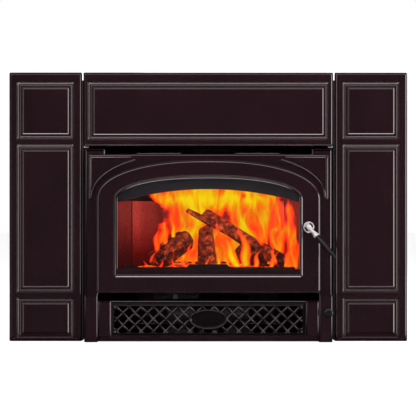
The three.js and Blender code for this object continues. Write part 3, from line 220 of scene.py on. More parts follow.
class Build:
    """Collects the faces of one or several closed forms."""

    def __init__(self):
        self.verts = []
        self.faces = []

    def rings(self, rings):
        """Adds rings of equal length and the skin between them; gives each ring's first index."""
        starts = []
        count = len(rings[0])
        for ring in rings:
            starts.append(len(self.verts))
            self.verts += [tuple(p) for p in ring]
        for a, b in zip(starts, starts[1:]):
            for i in range(count):
                j = (i + 1) % count
                self.faces.append((a + i, a + j, b + j, b + i))
        return starts

    def cap(self, loops):
        """Fills a flat outline, its holes after it; each loop is (first index, count)."""
        points = [[Vector(self.verts[s + i]) for i in range(n)] for s, n in loops]
        index = [s + i for s, n in loops for i in range(n)]
        self.faces += [tuple(index[i] for i in tri) for tri in geometry.tessellate_polygon(points)]

    def tube(self, rings):
        """A closed form of rings with its two ends filled."""
        starts = self.rings(rings)
        count = len(rings[0])
        self.faces.append(tuple(range(starts[0], starts[0] + count))[::-1])
        self.faces.append(tuple(range(starts[-1], starts[-1] + count)))

    def plate(self, outer, holes=()):
        """outer: rings from the back to the front; holes: lists of rings from the front to the back."""
        first = self.rings(outer)
        count = len(outer[0])
        fronts = [(first[-1], count)]
        backs = [(first[0], count)]
        for hole in holes:
            starts = self.rings(hole)
            fronts.append((starts[0], len(hole[0])))
            backs.append((starts[-1], len(hole[0])))
        self.cap(fronts)
        self.cap(backs)

    def join(self, other):
        start = len(self.verts)
        self.verts += other.verts
        self.faces += [tuple(start + i for i in f) for f in other.faces]

    def mirror(self):
        """Adds the mirror image across x = 0."""
        start = len(self.verts)
        faces = list(self.faces)
        self.verts += [(-x, y, z) for x, y, z in self.verts]
        self.faces += [tuple(start + i for i in reversed(f)) for f in faces]

    def done(self, name, mat, body, replaces=(), sharp=38):
        """Makes the piece, its normals turned outwards and its flats kept flat."""
        made = make(name, self.verts, self.faces, mat, body, replaces, sharp)
        work = bmesh.new()
        work.from_mesh(made.data)
        bmesh.ops.remove_doubles(work, verts=work.verts, dist=1e-7)
        bmesh.ops.recalc_face_normals(work, faces=work.faces)
        work.to_mesh(made.data)
        work.free()
        made.data.shade_smooth()
        made.data.set_sharp_from_angle(angle=math.radians(sharp))
        made.modifiers.new("weigh", "WEIGHTED_NORMAL").keep_sharp = True
        return made


def at(points, y):
    return [(x, y, z) for x, z in points]


def span(x0, x1, z0, z1):
    return [(x0, z0), (x1, z0), (x1, z1), (x0, z1)]


def circle(x, z, radius, count):
    return [(x + radius * math.cos(TURN * i / count), z + radius * math.sin(TURN * i / count)) for i in range(count)]


def rect(x0, x1, z0, z1, y, inset, corner, steps=4):
    """A rectangle's ring at a depth, drawn in by an inset, its corners rounded."""
    left, right, low, high = x0 + inset, x1 - inset, z0 + inset, z1 - inset
    ring = []
    for cx, cz, start in (
        (right - corner, low + corner, -90),
        (right - corner, high - corner, 0),
        (left + corner, high - corner, 90),
        (left + corner, low + corner, 180),
    ):
        for i in range(steps + 1):
            turn = math.radians(start + 90 * i / steps)
            ring.append((cx + corner * math.cos(turn), y, cz + corner * math.sin(turn)))
    return ring


def rounded(front, radius, steps=5):
    """(inset, y) of a quarter round that ends on the front plane."""
    turns = [math.pi / 2 * i / steps for i in range(steps + 1)]
    return [(radius * (1 - math.cos(turn)), front + radius * (1 - math.sin(turn))) for turn in turns]


def offset(points, amount):
    """A flat outline, counter-clockwise, moved inwards."""
    moved = []
    count = len(points)
    for i, (x, z) in enumerate(points):
        ax, az = points[i - 1]
        bx, bz = points[(i + 1) % count]
        u = Vector((x - ax, z - az)).normalized()
        v = Vector((bx - x, bz - z)).normalized()
        n = Vector((-u.y - v.y, u.x + v.x)).normalized()
        scale = amount / max(0.35, n.dot(Vector((-u.y, u.x))))
        moved.append((x + n.x * scale, z + n.y * scale))
    return moved


def soften(points, radius, steps=4):
    """A flat outline with its corners rounded."""
    made = []
    count = len(points)
    for i, p in enumerate(points):
        a = Vector(points[i - 1]) - Vector(p)
        b = Vector(points[(i + 1) % count]) - Vector(p)
        cut = min(radius, a.length * 0.45, b.length * 0.45)
        a, b = a.normalized() * cut, b.normalized() * cut
        for k in range(steps + 1):
            t = k / steps
            q = Vector(p) + a * (1 - t) ** 2 + b * t**2
            made.append((q.x, q.y))
    return made


def eased(flat, back, profile):
    """Rings of a plate from its back to its front edge, which follows (inset, y) pairs."""
    return [at(flat, back)] + [at(offset(flat, inset), y) for inset, y in profile]


def lathe(build, profile, place, sides=40):
    """profile: (radius, distance); place maps (across, along, up) to a point."""
    turns = [TURN * i / sides for i in range(sides)]
    build.tube([[place(r * math.cos(turn), along, r * math.sin(turn)) for turn in turns] for r, along in profile])


# -------- surround
WALL = 5
PANEL_FRONT = -30.0
# (inset, depth) from a field's rim to its floor, and from a panel's side to its front
MOULD = [(0, 0.0), (0.6, 0.5), (1.6, 2.6), (2.6, 4.2), (4.0, 4.9), (5.4, 4.9), (6.6, 4.3), (7.6, 3.2), (8.6, 2.7),
         (10.0, 2.55), (14.2, 2.5), (15.2, 2.2), (16.4, 1.3), (17.6, 0.85), (19.0, 0.75)]
EDGE = [(0, 9.0), (0.5, 6.6), (1.2, 4.7), (2.4, 2.8), (4.0, 1.0), (4.5, 0.74), (6.1, 0.08), (6.6, 0.0)]


def panel(name, x0, x1, z0, z1, fields):
    """A cast panel with sunk and moulded fields, its back hollowed between ribs."""
    build = Build()
    outer = [rect(x0, x1, z0, z1, 0, 0, 4)]
    outer += [rect(x0, x1, z0, z1, PANEL_FRONT + depth, inset, max(4 - inset * 0.4, 0.6)) for inset, depth in EDGE]
    starts = build.rings(outer)
    fronts = [(starts[-1], len(outer[0]))]
    backs = [(starts[0], len(outer[0]))]
    rails = [(a[3] + b[2]) / 2 for a, b in zip(fields, fields[1:])]
    lows = [z0 + WALL] + [rail + WALL / 2 for rail in rails]
    highs = [rail - WALL / 2 for rail in rails] + [z1 - WALL]
    for field, low, high in zip(fields, lows, highs):
        rings = [rect(*field, PANEL_FRONT + depth, inset, 0.5, 2) for inset, depth in MOULD]
        first = build.rings(rings)
        fronts.append((first[0], len(rings[0])))
        build.cap([(first[-1], len(rings[0]))])
        hollow = [rect(x0 + WALL, x1 - WALL, low, high, y, 0, 1.5, 2) for y in (-20, 0)]
        inner = build.rings(hollow)
        build.cap([(inner[0], len(hollow[0]))])
        backs.append((inner[-1], len(hollow[0])))
    build.cap(fronts)
    build.cap(backs)
    build.done(name + "_enamelled", enamel, "body", [name], 50)


side_fields = [(370.5, 528.0, 7.5, 120.5), (370.5, 528.0, 135.0, 542.7), (370.5, 528.0, 557.2, 714.7)]
panel("surround_right", 348.5, 550, 0, 742.7, side_fields)
panel("surround_left", -550, -348.5, 0, 742.7, [(-b, -a, c, d) for a, b, c, d in side_fields])
panel("surround_top", -345.5, 345.5, 537.5, 742.7, [(-332.5, 332.5, 555.5, 714.7)])


# -------- arched outlines
def arch(half, bottom, rise, foot=0.0, steps=56, spring=390.0, power=2.24):
    """Straight sides on rounded feet under a superelliptic head."""
    points = []
    for i in range(7):
        turn = math.pi / 2 * i / 6
        points.append((half - foot + foot * math.sin(turn), bottom + foot - foot * math.cos(turn)))
    for i in range(steps + 1):
        turn = math.pi * i / steps
        across = math.copysign(abs(math.cos(turn)) ** (2 / power), math.cos(turn))
        points.append((half * across, spring + rise * math.sin(turn) ** (2 / power)))
    for i in range(6, -1, -1):
        turn = math.pi / 2 * i / 6
        points.append((foot - half - foot * math.sin(turn), bottom + foot - foot * math.cos(turn)))
    return points


# -------- front casting
CAST_FRONT, CAST_BACK = -36, -28
BEAD_FOOT, BEAD_TOP = -35.5, -39
HINGE = (-299, -46)
HINGE_HEIGHTS = (176, 366)


def fire_hole(y, grow=0.0):
    """The fire opening: upright sides under a flat circular head."""
    half, low, shoulder, top = 283 + grow, 160 - grow, 373.6, 420 + grow
    rise = top - shoulder
    radius = (half * half + rise * rise) / (2 * rise)
    reach = math.asin(half / radius)
    ring = [(-half, y, low), (half, y, low)]
    for i in range(41):
        turn = math.pi / 2 - reach + 2 * reach * i / 40
        ring.append((radius * math.cos(turn), y, top - radius + radius * math.sin(turn)))
    return ring


def ribbon(build, path, wide):
    """A raised bead with a round top along a flat path."""
    section = [(-0.5, 0.0), (-0.46, 0.55), (-0.3, 0.9), (0, 1.0), (0.3, 0.9), (0.46, 0.55), (0.5, 0.0)]
    rings = []
    for i, here in enumerate(path):
        p = Vector(here)
        a = Vector(path[max(i - 1, 0)])
        b = Vector(path[min(i + 1, len(path) - 1)])
        u = (p - a if i else b - p).normalized()
        v = (b - p).normalized() if i + 1 < len(path) else u
        t = (u + v).normalized()
        n = Vector((-t.y, t.x))
        stretch = 1 / max(0.5, n.dot(Vector((-u.y, u.x))))
        rings.append(
            [
                (p.x + n.x * s * wide * stretch, BEAD_FOOT + (BEAD_TOP - BEAD_FOOT) * h, p.y + n.y * s * wide * stretch)
                for s, h in section
            ]
        )
    build.tube(rings)


casting = Build()
face = [(-340, 0), (-303.3, 0), (-303.3, 133), (303.3, 133), (303.3, 0), (340, 0), (340, 530), (284, 530), (284, 517),
        (-284, 517), (-284, 530), (-340, 530)]
opening = [fire_hole(CAST_FRONT, 0.6), fire_hole(CAST_FRONT + 0.6), fire_hole(CAST_BACK)]
wells = [
    [at(span(x0, x1, 6, 124), y) for y in (CAST_FRONT, CAST_BACK)] for x0, x1 in ((309.3, 333.5), (-333.5, -309.3))
]
casting.plate(eased(soften(face, 1.5), CAST_BACK, rounded(CAST_FRONT, 5)), [opening, *wells])
half = Build()
leg = soften(span(303.3, 340, 0, 130), 1.5)
first = half.rings(eased(leg, -29, rounded(-54, 3.5)))
half.cap([(first[-1], len(leg))])
well = half.rings([at(span(309.3, 333.5, 6, 124), y) for y in (-48, -29)])
half.cap([(well[0], 4)])
half.cap([(first[0], len(leg)), (well[1], 4)])
half.plate([at(span(334, 340, 2, 529), y) for y in (-0.3, -30)])
half.plate([at(span(296.3, 304.3, 85, 105), y) for y in (-28.5, -37.7)])
corner = [(326, 394)] + [(326, z) for z in range(400, 508, 12)] + [(326, 510.5), (320, 510.5)]
ribbon(half, corner + [(x, 510.5) for x in range(308, 202, -12)], 8)
ribbon(half, [(x, z) for x, z in arch(322, 0, 133.5, 0, 160) if 199 < x < 322.5 and z > 394], 7)
half.mirror()
casting.join(half)
casting.plate([at(span(-284, 284, 511, 516.5), y) for y in (-0.3, -30)])
for height in HINGE_HEIGHTS:
    turns = [math.radians(a) for a in range(-20, -180, -20)]
    lug = [(-294.5, BEAD_FOOT), (-294.5, HINGE[1])]
    lug += [(HINGE[0] + 4.5 * math.cos(turn), HINGE[1] + 4.5 * math.sin(turn)) for turn in turns]
    lug += [(-303.5, HINGE[1]), (-303.5, BEAD_FOOT)]
    casting.tube([[(x, y, z) for x, y in lug] for z in (height - 4, height + 4)])
casting.done("front_casting", enamel_outside, "body", ["front_frame"], 50)

# -------- door
DOOR_FRONT, DOOR_BACK = -58, -37.5
HX, HZ = 274.6, 316.0  # the handle's axis


def door_rings():
    """The door's outline, relieved beside the hinge; its foot turns back steeply."""
    flat = arch(307, 137, 110, 9)
    rings = [at([(max(x, -301.0) if x < -296 else x, z) for x, z in flat], DOOR_BACK), at(flat, -44)]
    for inset, y in rounded(DOOR_FRONT, 7, 6):
        ring = [(x, z - 0.8 * inset * min(1.0, max(0.0, (165 - z) / 20))) for x, z in offset(flat, inset)]
        rings.append(at(ring, y))
    return rings


def between(a, b, share):
    return [(p[0] + (q[0] - p[0]) * share, p[1] + (q[1] - p[1]) * share) for p, q in zip(a, b)]


window = arch(256, 177, 66, 3)
lip = arch(249, 201, 60, 3)
BEAD = [
    # half width, bottom, rise, foot, y: the bead round the glass
    (258.6, 178.0, 68.6, 4.5, -58), (257.6, 179.2, 67.6, 4.2, -58.25), (255.8, 181.2, 65.8, 4, -59.3),
    (254.9, 182.4, 65.0, 3.8, -59.7), (254.0, 183.6, 64.2, 3.5, -59.6), (253.3, 184.6, 63.6, 3.2, -58.8),
    (252.8, 185.4, 63.1, 3, -56.0), (252.5, 185.9, 62.9, 3, -53.1),
]
SEAT = [(267, 183, 75, 4, -47.5), (267, 183, 75, 4, -41.2), (279, 171, 87, 4, -41.2), (279, 171, 87, 4, DOOR_BACK)]
pane = [at(arch(*form), y) for *form, y in BEAD]
pane += [at(between(window, lip, share), y) for share, y in ((0.62, -53.0), (0.80, -52.95), (0.96, -52.35))]
pane += [at(lip, -52.2), at(lip, -47.5)]
pane += [at(arch(*form), y) for *form, y in SEAT]
door = Build()
door.plate(door_rings(), [pane])
door = door.done("door_casting", enamel, "door", ["door_frame"], 42)


def carve(made, cutters):
    """Cuts closed forms out of a piece; vertices stay as cut."""
    tool = make("cutter", cutters.verts, cutters.faces, enamel, "body")
    cut = made.modifiers.new("cut", "BOOLEAN")
    cut.operation = "DIFFERENCE"
    cut.solver = "EXACT"
    cut.object = tool
    made.modifiers.move(len(made.modifiers) - 1, 0)
    bpy.context.view_layer.update()
    shaped = bpy.data.meshes.new_from_object(made.evaluated_get(bpy.context.evaluated_depsgraph_get()))
    made.modifiers.clear()
    made.data = shaped
    bpy.data.objects.remove(tool)


pockets = Build()
pin = circle(*HINGE, 2.8, 20)
for height in HINGE_HEIGHTS:
    flat = [(-309, -52.5), (-293.5, -52.5), (-293.5, -37), (-309, -37)]
    for outline, low, high in ((flat, -5, 5), (pin, -15.3, -4.5), (pin, 4.5, 15.3)):
        pockets.tube([[(x, y, height + z) for x, y in outline] for z in (low, high)])
pockets.tube([[(x, y, 2 * HZ - z) for x, z in circle(HX, HZ, 4.4, 20)] for y in (-59, -37)])
carve(door, pockets)


# -------- handle
HUB_FRONT, HUB_BACK = -62.3, -58.3
hub = Build()
facing = math.radians(40)


def crescent(side, grow=0.0):
    """The outline of one of the hub's two curved windows."""
    mid = facing + (0 if side > 0 else math.pi)
    ring = []
    for radius, way in ((11.7 + grow, 1), (7.5 - grow, -1)):
        for i in range(13):
            a = mid + way * (1.5 * i / 12 - 0.75)
            ring.append((HX + radius * math.cos(a), HZ + radius * math.sin(a)))
    return ring


hub.plate(
    eased(circle(HX, HZ, 15, 64), HUB_BACK, rounded(HUB_FRONT, 1.4, 4)),
    [[at(crescent(s, 0.5), HUB_FRONT), at(crescent(s), -61.6), at(crescent(s), HUB_BACK)] for s in (1, -1)],
)
hub.done("hub_plated", nickel, "handle", ["handle_hub"], 40)

down, out = math.radians(50), math.radians(12)
lean = Vector((math.cos(down) * math.cos(out), -math.sin(out), -math.sin(down) * math.cos(out)))
side = lean.cross(Vector((0, 1, 0))).normalized()
third = lean.cross(side)


def on_lever(a, along, b):
    return tuple(Vector((HX, -68.8, HZ)) + lean * along + side * a + third * b)


stem = Build()
lathe(
    stem,
    [(0.5, -3), (2.6, -2.8), (3.5, -2), (3.6, 6), (3.7, 10), (4.3, 15), (5.6, 21), (6.9, 26), (7.7, 29), (8.0, 30.2),
     (8.5, 30.8), (8.6, 31.6), (8.5, 32.6), (7.9, 33), (0.5, 33)],
    on_lever,
)
lathe(
    stem,
    [(0.5, -71.7), (4.6, -71.6), (5.8, -70.9), (6.2, -69.5), (6.2, -63.4), (5.8, -62.6), (4.0, -62.5), (4.0, -13.4),
     (0.5, -13.4)],
    lambda a, y, b: (HX + a, y, HZ + b),
)
stem.done("stem_plated", nickel, "handle", ["handle_stem"], 35)
grip = Build()
lathe(
    grip,
    [(0.5, 33.3), (6.4, 33.4), (7.0, 34.2), (7.5, 38), (7.9, 44), (8.0, 52), (7.8, 62), (7.4, 74), (6.8, 86), (6.1, 96),
     (5.4, 103), (4.7, 107), (3.6, 108.7), (2.0, 109.2), (0.5, 109.3)],
    on_lever,
)
grip.done("grip_moulded", black_grip, "handle", ["handle_grip"], 35)

# -------- lower grille
FRAME_BACK, FRAME_FRONT = -38, -50
LOW, HIGH, SIDE = 21.0, 102.5, 262.6  # the lattice's rim
MIDDLE = (LOW + HIGH) / 2
PITCH = 33.5
STRAND_WIDE, STRAND_THICK, STRAND_Y = 6.2, 1.15, -43.9
STRAND = [(-0.5, 0.3), (-0.5, -0.1), (-0.34, -0.62), (-0.12, -1.0), (0.12, -1.0), (0.34, -0.62), (0.5, -0.1),
          (0.5, 0.3), (0.34, 0.95), (-0.34, 0.95)]


def ring_plate(build, x0, x1, z0, z1, hx, hz0, hz1, back, front, edge):
    """A flat frame round a hole that reaches hx to each side."""
    hole = [
        at(span(-hx - g, hx + g, hz0 - g, hz1 + g), y)
        for g, y in ((0.9, front), (0.3, front + 1.0), (0, front + 2.4), (0, back))
    ]
    profile = [(inset, front + depth) for inset, depth in edge]
    build.plate(eased(soften(span(x0, x1, z0, z1), 2), back, profile), [hole])


grille = Build()
rim = [(0, 4.0), (0.4, 2.4), (1.0, 1.3), (1.6, 0.85), (4.2, 0.08), (4.7, 0.0)]
ring_plate(grille, -302.7, 302.7, 3, 113.8, 264.2, 19.4, 104.1, FRAME_BACK, FRAME_FRONT, rim)
end = Build()
end.plate(eased(soften(span(266.7, 302.7, 14, 113.8), 1.5), -38.5, rounded(-54, 4)))
toe = span(270, 298.5, 11.2, 16)
end.plate([at(toe, -40), at(toe, -52.5), at(span(271.5, 297, 15.2, 16), -55.2)])
for low, high in ((19.0, 37.0), (88.1, 104.5)):
    end.plate([at(span(248.2, 265, low, high), y) for y in (FRAME_BACK, -41)])
lathe(end, [(0.3, 290), (3, 290), (3, 307.6), (2.4, 308.2), (0.3, 308.2)], lambda a, x, b: (x, -48.5 + a, 22 + b), 20)
end.mirror()
grille.join(end)
grille.done("grille_casting", enamel, "grille", ["grille_frame"], 50)

lattice = Build()
rim = [(0, 1.2), (0.35, 0.35), (1.2, 0)]
ring_plate(lattice, -SIDE, SIDE, LOW, HIGH, SIDE - 5, LOW + 5, HIGH - 5, -41.3, -46.3, rim)


def strand(build, slope, i):
    """A flat bar that passes over and under the bars that cross it."""
    reach = (HIGH - LOW) / 2 - 3
    middle = (i + 0.5) * PITCH
    across = Vector((1, 0, -slope)).normalized() * STRAND_WIDE
    rings = []
    for k in range(25):
        t = -reach + 2 * reach * k / 24
        x = middle + slope * t
        if abs(x) > SIDE - 3:
            continue
        over = math.sin(TURN * t / PITCH) * (1 if i % 2 == 0 else -1)
        depth = STRAND_Y - STRAND_THICK * over
        rings.append([(x + across.x * a, depth + STRAND_THICK * b, MIDDLE + t + across.z * a) for a, b in STRAND])
    if len(rings) > 2:
        build.tube(rings)


for i in range(-11, 11):
    strand(lattice, 1, i)
    strand(lattice, -1, i)
screws = Build()
screw = [(0.2, -45.8), (3.4, -45.8), (3.5, -47.0), (3.1, -47.9), (2.2, -48.5), (1.4, -48.7), (0.9, -48.0), (0.2, -47.9)]
for x in (-SIDE + 6.5, SIDE - 6.5):
    for z, screw_z in ((LOW + 7.5, LOW + 7.0), (HIGH - 7.5, HIGH - 7.0)):
        pad = soften(span(x - 6, x + 6, z - 6.5, z + 6.5), 1.5)
        lattice.plate([at(pad, -41.4), at(pad, -46.2)])
        lathe(screws, screw, lambda a, y, b, x=x, z=screw_z: (x + a, y, z + b), 24)
lattice.done("lattice_woven", dark_enamel, "grille", ["grille_lattice"], 40)

badge = Build()
badge.tube(
    [
        [(rx * math.cos(TURN * i / 72), y, MIDDLE + rz * math.sin(TURN * i / 72)) for i in range(72)]
        for rx, rz, y in (
            (52.4, 27.9, -46.6), (53.0, 28.5, -47.2), (53.0, 28.5, -49.0), (52.5, 28.0, -50.4), (51.3, 26.8, -51.3),
            (49.8, 25.3, -51.6), (48.3, 23.8, -51.2), (47.2, 22.7, -50.2), (46.6, 22.1, -49.2), (45.6, 21.1, -48.9),
            (24.0, 11.0, -49.1),
        )
    ]
)
badge.done("medallion_plain", dark_enamel, "grille", ["medallion"], 60)
screws.done("grille_screws", zinc_steel, "grille", (), 40)

# -------- speed knob
KNOB_X, KNOB_Z, RIBS = 329, 80.5, 18
knob = Build()


def on_knob(a, y, b):
    angle = math.atan2(b, a)
    radius = math.hypot(a, b)
    if 6 < radius and y < -58:
        radius *= 1 + 0.035 * math.cos(RIBS * angle)
    return (KNOB_X + radius * math.cos(angle), y, KNOB_Z + radius * math.sin(angle))


lathe(
    knob,
    [(0.3, -38.5), (3.5, -38.5), (3.5, -54.3), (11.6, -54.3), (12.4, -55), (12.4, -58), (11.6, -59), (10.5, -59.4),
     (10.1, -61), (9.6, -66), (9.1, -69), (8.3, -70), (6.8, -70.3), (5.5, -69.9), (0.3, -69.8)],
    on_knob,
    108,
)
knob.plate([at(soften(span(328.1, 329.9, 82, 88), 0.6), y) for y in (-69.5, -71.0)])
knob.done("knob_ribbed", knob_black, "knob", ["speed_knob"], 35)


# -------- firebox
def brick_material():
    """Pink fire brick: darker and redder low down, the red a painted glow of the fire; darker in front of the joint
    between two bricks.
    """
    mat, tree, shader = principled("fire_brick", Roughness=0.92)
    shader.inputs["Specular IOR Level"].default_value = 0.15
    grain = noise_at(tree, 160, 6)
    _, y, z = axes(tree)
    # darker and redder towards the bottom: the red is a painted glow of the fire
    darkening = [(0.0, (0.07, 0.001, 0.002)), (0.3, (0.32, 0.02, 0.02)), (0.62, (0.88, 0.62, 0.60)), (0.9, (1, 1, 1))]
    joint = [(0.0, (0.55, 0.55, 0.62)), (0.52, (0.66, 0.66, 0.72)), (0.53, (0.2, 0.2, 0.2)), (0.565, (0.2, 0.2, 0.2)),
             (0.575, (1.28, 1.25, 1.3))]
    tone = ramp(tree, noise_at(tree, 11, 5), [(0.3, (0.24, 0.066, 0.082)), (0.7, (0.35, 0.110, 0.135))])
    tone = blend(tree, 1.0, tone, ramp(tree, ranged(tree, z, 0.18, 0.36), darkening), "MULTIPLY")
    tone = blend(tree, 1.0, tone, ramp(tree, ranged(tree, y, 0.0, 0.20), joint), "MULTIPLY")
    specks = ramp(tree, grain, [(0.35, (0.55, 0.52, 0.50)), (0.62, (1, 1, 1))])
    put(tree, shader.inputs["Base Color"], blend(tree, 0.85, tone, specks, "MULTIPLY"))
    relief(tree, shader, grain, 0.6, 0.0015)
    return mat


def glass_material():
    """Clear glass under a thin film of soot."""
    mat, tree, out = new_material("clear_glass")
    darkening = noise_at(tree, 14, 5)
    tint = ramp(tree, darkening, [(0.35, (0.955, 0.965, 0.975)), (0.75, (0.99, 0.995, 1))])
    film = ramp(tree, darkening, [(0.3, (0.0014, 0.0013, 0.0020)), (0.8, (0.0008, 0.0007, 0.0012))])
    clear = add(tree, "ShaderNodeBsdfTransparent", tint).outputs[0]
    shine = add(tree, "ShaderNodeBsdfGlossy", Roughness=0.02).outputs[0]
    share = add(tree, "ShaderNodeFresnel", IOR=1.45).outputs[0]
    pane = add(tree, "ShaderNodeMixShader", share, clear, shine).outputs[0]
    both = add(tree, "ShaderNodeAddShader", pane, add(tree, "ShaderNodeBsdfDiffuse", film).outputs[0])
    tree.links.new(both.outputs[0], out.inputs["Surface"])
    return mat


def rope_material():
    mat, tree, shader = principled("rope", Roughness=0.95)
    coord = add(tree, "ShaderNodeTexCoord").outputs["Object"]
    weave = add(tree, "ShaderNodeTexWave", coord, Scale=170, Distortion=3.0)
    weave.inputs["Detail Scale"].default_value = 3
    strands = weave.outputs["Fac"]
    tones = ramp(tree, strands, [(0.2, (0.05, 0.045, 0.04)), (0.8, (0.24, 0.22, 0.20))])
    put(tree, shader.inputs["Base Color"], tones)
    relief(tree, shader, strands, 0.8, 0.001)
    return mat


def bark_material():
    mat, tree, shader = principled("charred_bark", Roughness=0.9)
    shader.inputs["Specular IOR Level"].default_value = 0.15
    shader.inputs["Emission Strength"].default_value = 0.55
    broad = noise_at(tree, 38, 7, rough=0.7)
    grain = noise_at(tree, 70, 7, rough=0.68)
    tones = [(0.34, (0.006, 0.003, 0.003)), (0.50, (0.070, 0.026, 0.017)), (0.70, (0.30, 0.130, 0.085))]
    glow = [(0.50, (0, 0, 0)), (0.58, (0.30, 0.012, 0.002)), (0.66, (1.0, 0.16, 0.012)), (0.74, (1.0, 0.50, 0.06))]
    put(tree, shader.inputs["Base Color"], ramp(tree, grain, tones))
    put(tree, shader.inputs["Emission Color"], ramp(tree, broad, glow))
    relief(tree, shader, grain, 0.9, 0.003)
    return mat


def ember_material():
    mat, tree, shader = principled("embers", Roughness=0.95)
    shader.inputs["Emission Strength"].default_value = 1.0
    coals = noise_at(tree, 55, 6, rough=0.65)
    glow = [(0.36, (0.05, 0.0, 0.0)), (0.47, (0.65, 0.018, 0.003)), (0.58, (1.0, 0.17, 0.012)),
            (0.70, (1.0, 0.58, 0.08))]
    put(tree, shader.inputs["Base Color"], ramp(tree, coals, [(0.3, (0.02, 0.012, 0.01)), (0.7, (0.10, 0.05, 0.035))]))
    put(tree, shader.inputs["Emission Color"], ramp(tree, coals, glow))
    relief(tree, shader, coals, 1.0, 0.004)
    return mat


fire_brick = brick_material()
clear_glass = glass_material()
rope = rope_material()
bark = bark_material()
embers = ember_material()

BED = 180.6  # the firebox floor's top, with the lining's half width, depth and height below
REACH, DEPTH, HEAD = 262, 335, 388


def hearth_log(name, start, end, r0, r1, seed):
    """A split and charred log that follows its solid, with finer bark."""
    a, b = Vector(start), Vector(end)
    along = (b - a).normalized()
    left = Vector((0, 0, 1)).cross(along).normalized()
    up = along.cross(left)
    build = Build()
    rings = []
    sides, stations = 44, 46
    for k in range(stations + 1):
        share = k / stations
        centre = a.lerp(b, share) + up * 3 * math.sin(math.pi * share + seed)
        radius = r0 + (r1 - r0) * share
        end_fall = min(1.0, 0.86 + 1.6 * min(share, 1 - share) * 2.5)
        ring = []
        for i in range(sides):
            turn = TURN * i / sides
            uneven = 1 + 0.09 * math.sin(3 * turn + seed) + 0.05 * math.cos(5 * turn + 2 * seed + share)
            flat = centre + (left * math.cos(turn) + up * math.sin(turn)) * radius
            cracks = noise.noise(Vector((flat.x * 0.05 + seed, flat.y * 0.05, flat.z * 0.05)))
            groove = noise.noise(Vector((math.cos(turn) * 2.2 + seed, math.sin(turn) * 2.2, share * 3.0)))
            ridge = abs(noise.noise(Vector((math.cos(turn) * 5 + seed, math.sin(turn) * 5, share * 7.0))))
            size = radius * end_fall * (uneven * 0.97 + 0.05 * cracks + 0.05 * groove - 0.07 * ridge)
            ring.append(tuple(centre + (left * math.cos(turn) + up * math.sin(turn)) * size))
        rings.append(ring)
    build.tube(rings)
    build.done(name + "_charred", bark, "body", [name], 70)


LOGS = [
    # two ends as shares of the lining's half width, depth and height, radii as shares of 30 mm, seed
    ((-0.561, 0.143, 0.154), (-0.237, 0.364, 0.487), 1.1, 1.03, 0.4),
    ((-0.008, 0.125, 0.135), (-0.023, 0.454, 0.608), 0.97, 0.7, 1.7),
    ((0.824, 0.084, 0.145), (-0.034, 0.501, 0.824), 0.67, 0.6, 2.6),
    ((0.237, 0.37, 0.588), (-0.24, 0.436, 0.863), 0.47, 0.23, 3.9),
    ((0.542, 0.119, 0.183), (0.389, 0.642, 0.251), 0.93, 0.87, 5.2),
]
for number, (start, end, r0, r1, seed) in enumerate(LOGS, 1):
    ends = [(x * REACH, y * DEPTH, BED + z * (HEAD - BED)) for x, y, z in (start, end)]
    hearth_log("log_%d" % number, ends[0], ends[1], r0 * 30, r1 * 30, seed)


def half_lining(y, inset=8):
    """Half the width between the lining's slanted sides at a depth."""
    return REACH - inset * 1.0597 - (y + 10) * 0.3507


def ember_heap():
    """A lumpy bed of coals between the bricks."""
    build = Build()
    columns, rows = 96, 60
    grid = []
    for r in range(rows + 1):
        v = r / rows
        y = 1 + 322 * v
        line = []
        for c in range(columns + 1):
            u = c / columns
            x = (2 * u - 1) * half_lining(y)
            heap = 0.45 + 0.55 * math.sin(math.pi * u) ** 0.7 * math.sin(math.pi * min(1, v + 0.18)) ** 0.5
            lumps = 0.1 * math.sin(0.061 * x + 0.9 * v) + 0.08 * math.cos(0.083 * y + 0.031 * x)
            coal = noise.noise(Vector((x * 0.07, y * 0.07, 3.1)))
            fine = noise.noise(Vector((x * 0.19, y * 0.19, 9.7)))
            line.append((x, y, BED + 26 * (heap + lumps) + 3.5 * coal + 2.0 * fine))
        grid.append(line)
    top = len(build.verts)
    for line in grid:
        build.verts += line
    per = columns + 1
    low = len(build.verts)
    edge = [(0, c) for c in range(per)] + [(r, columns) for r in range(1, rows + 1)]
    edge += [(rows, c) for c in range(columns - 1, -1, -1)] + [(r, 0) for r in range(rows - 1, 0, -1)]
    for r in range(rows):
        for c in range(columns):
            a = top + r * per + c
            build.faces.append((a, a + 1, a + 1 + per, a + per))
    build.verts += [(grid[r][c][0], grid[r][c][1], BED) for r, c in edge]
    count = len(edge)
    for i in range(count):
        j = (i + 1) % count
        a = top + edge[i][0] * per + edge[i][1]
        b = top + edge[j][0] * per + edge[j][1]
        build.faces.append((a, low + i, low + j, b))
    build.faces.append(tuple(low + i for i in range(count)))
    build.done("ember_heap", embers, "body", ["ember_bed"], 80)


ember_heap()


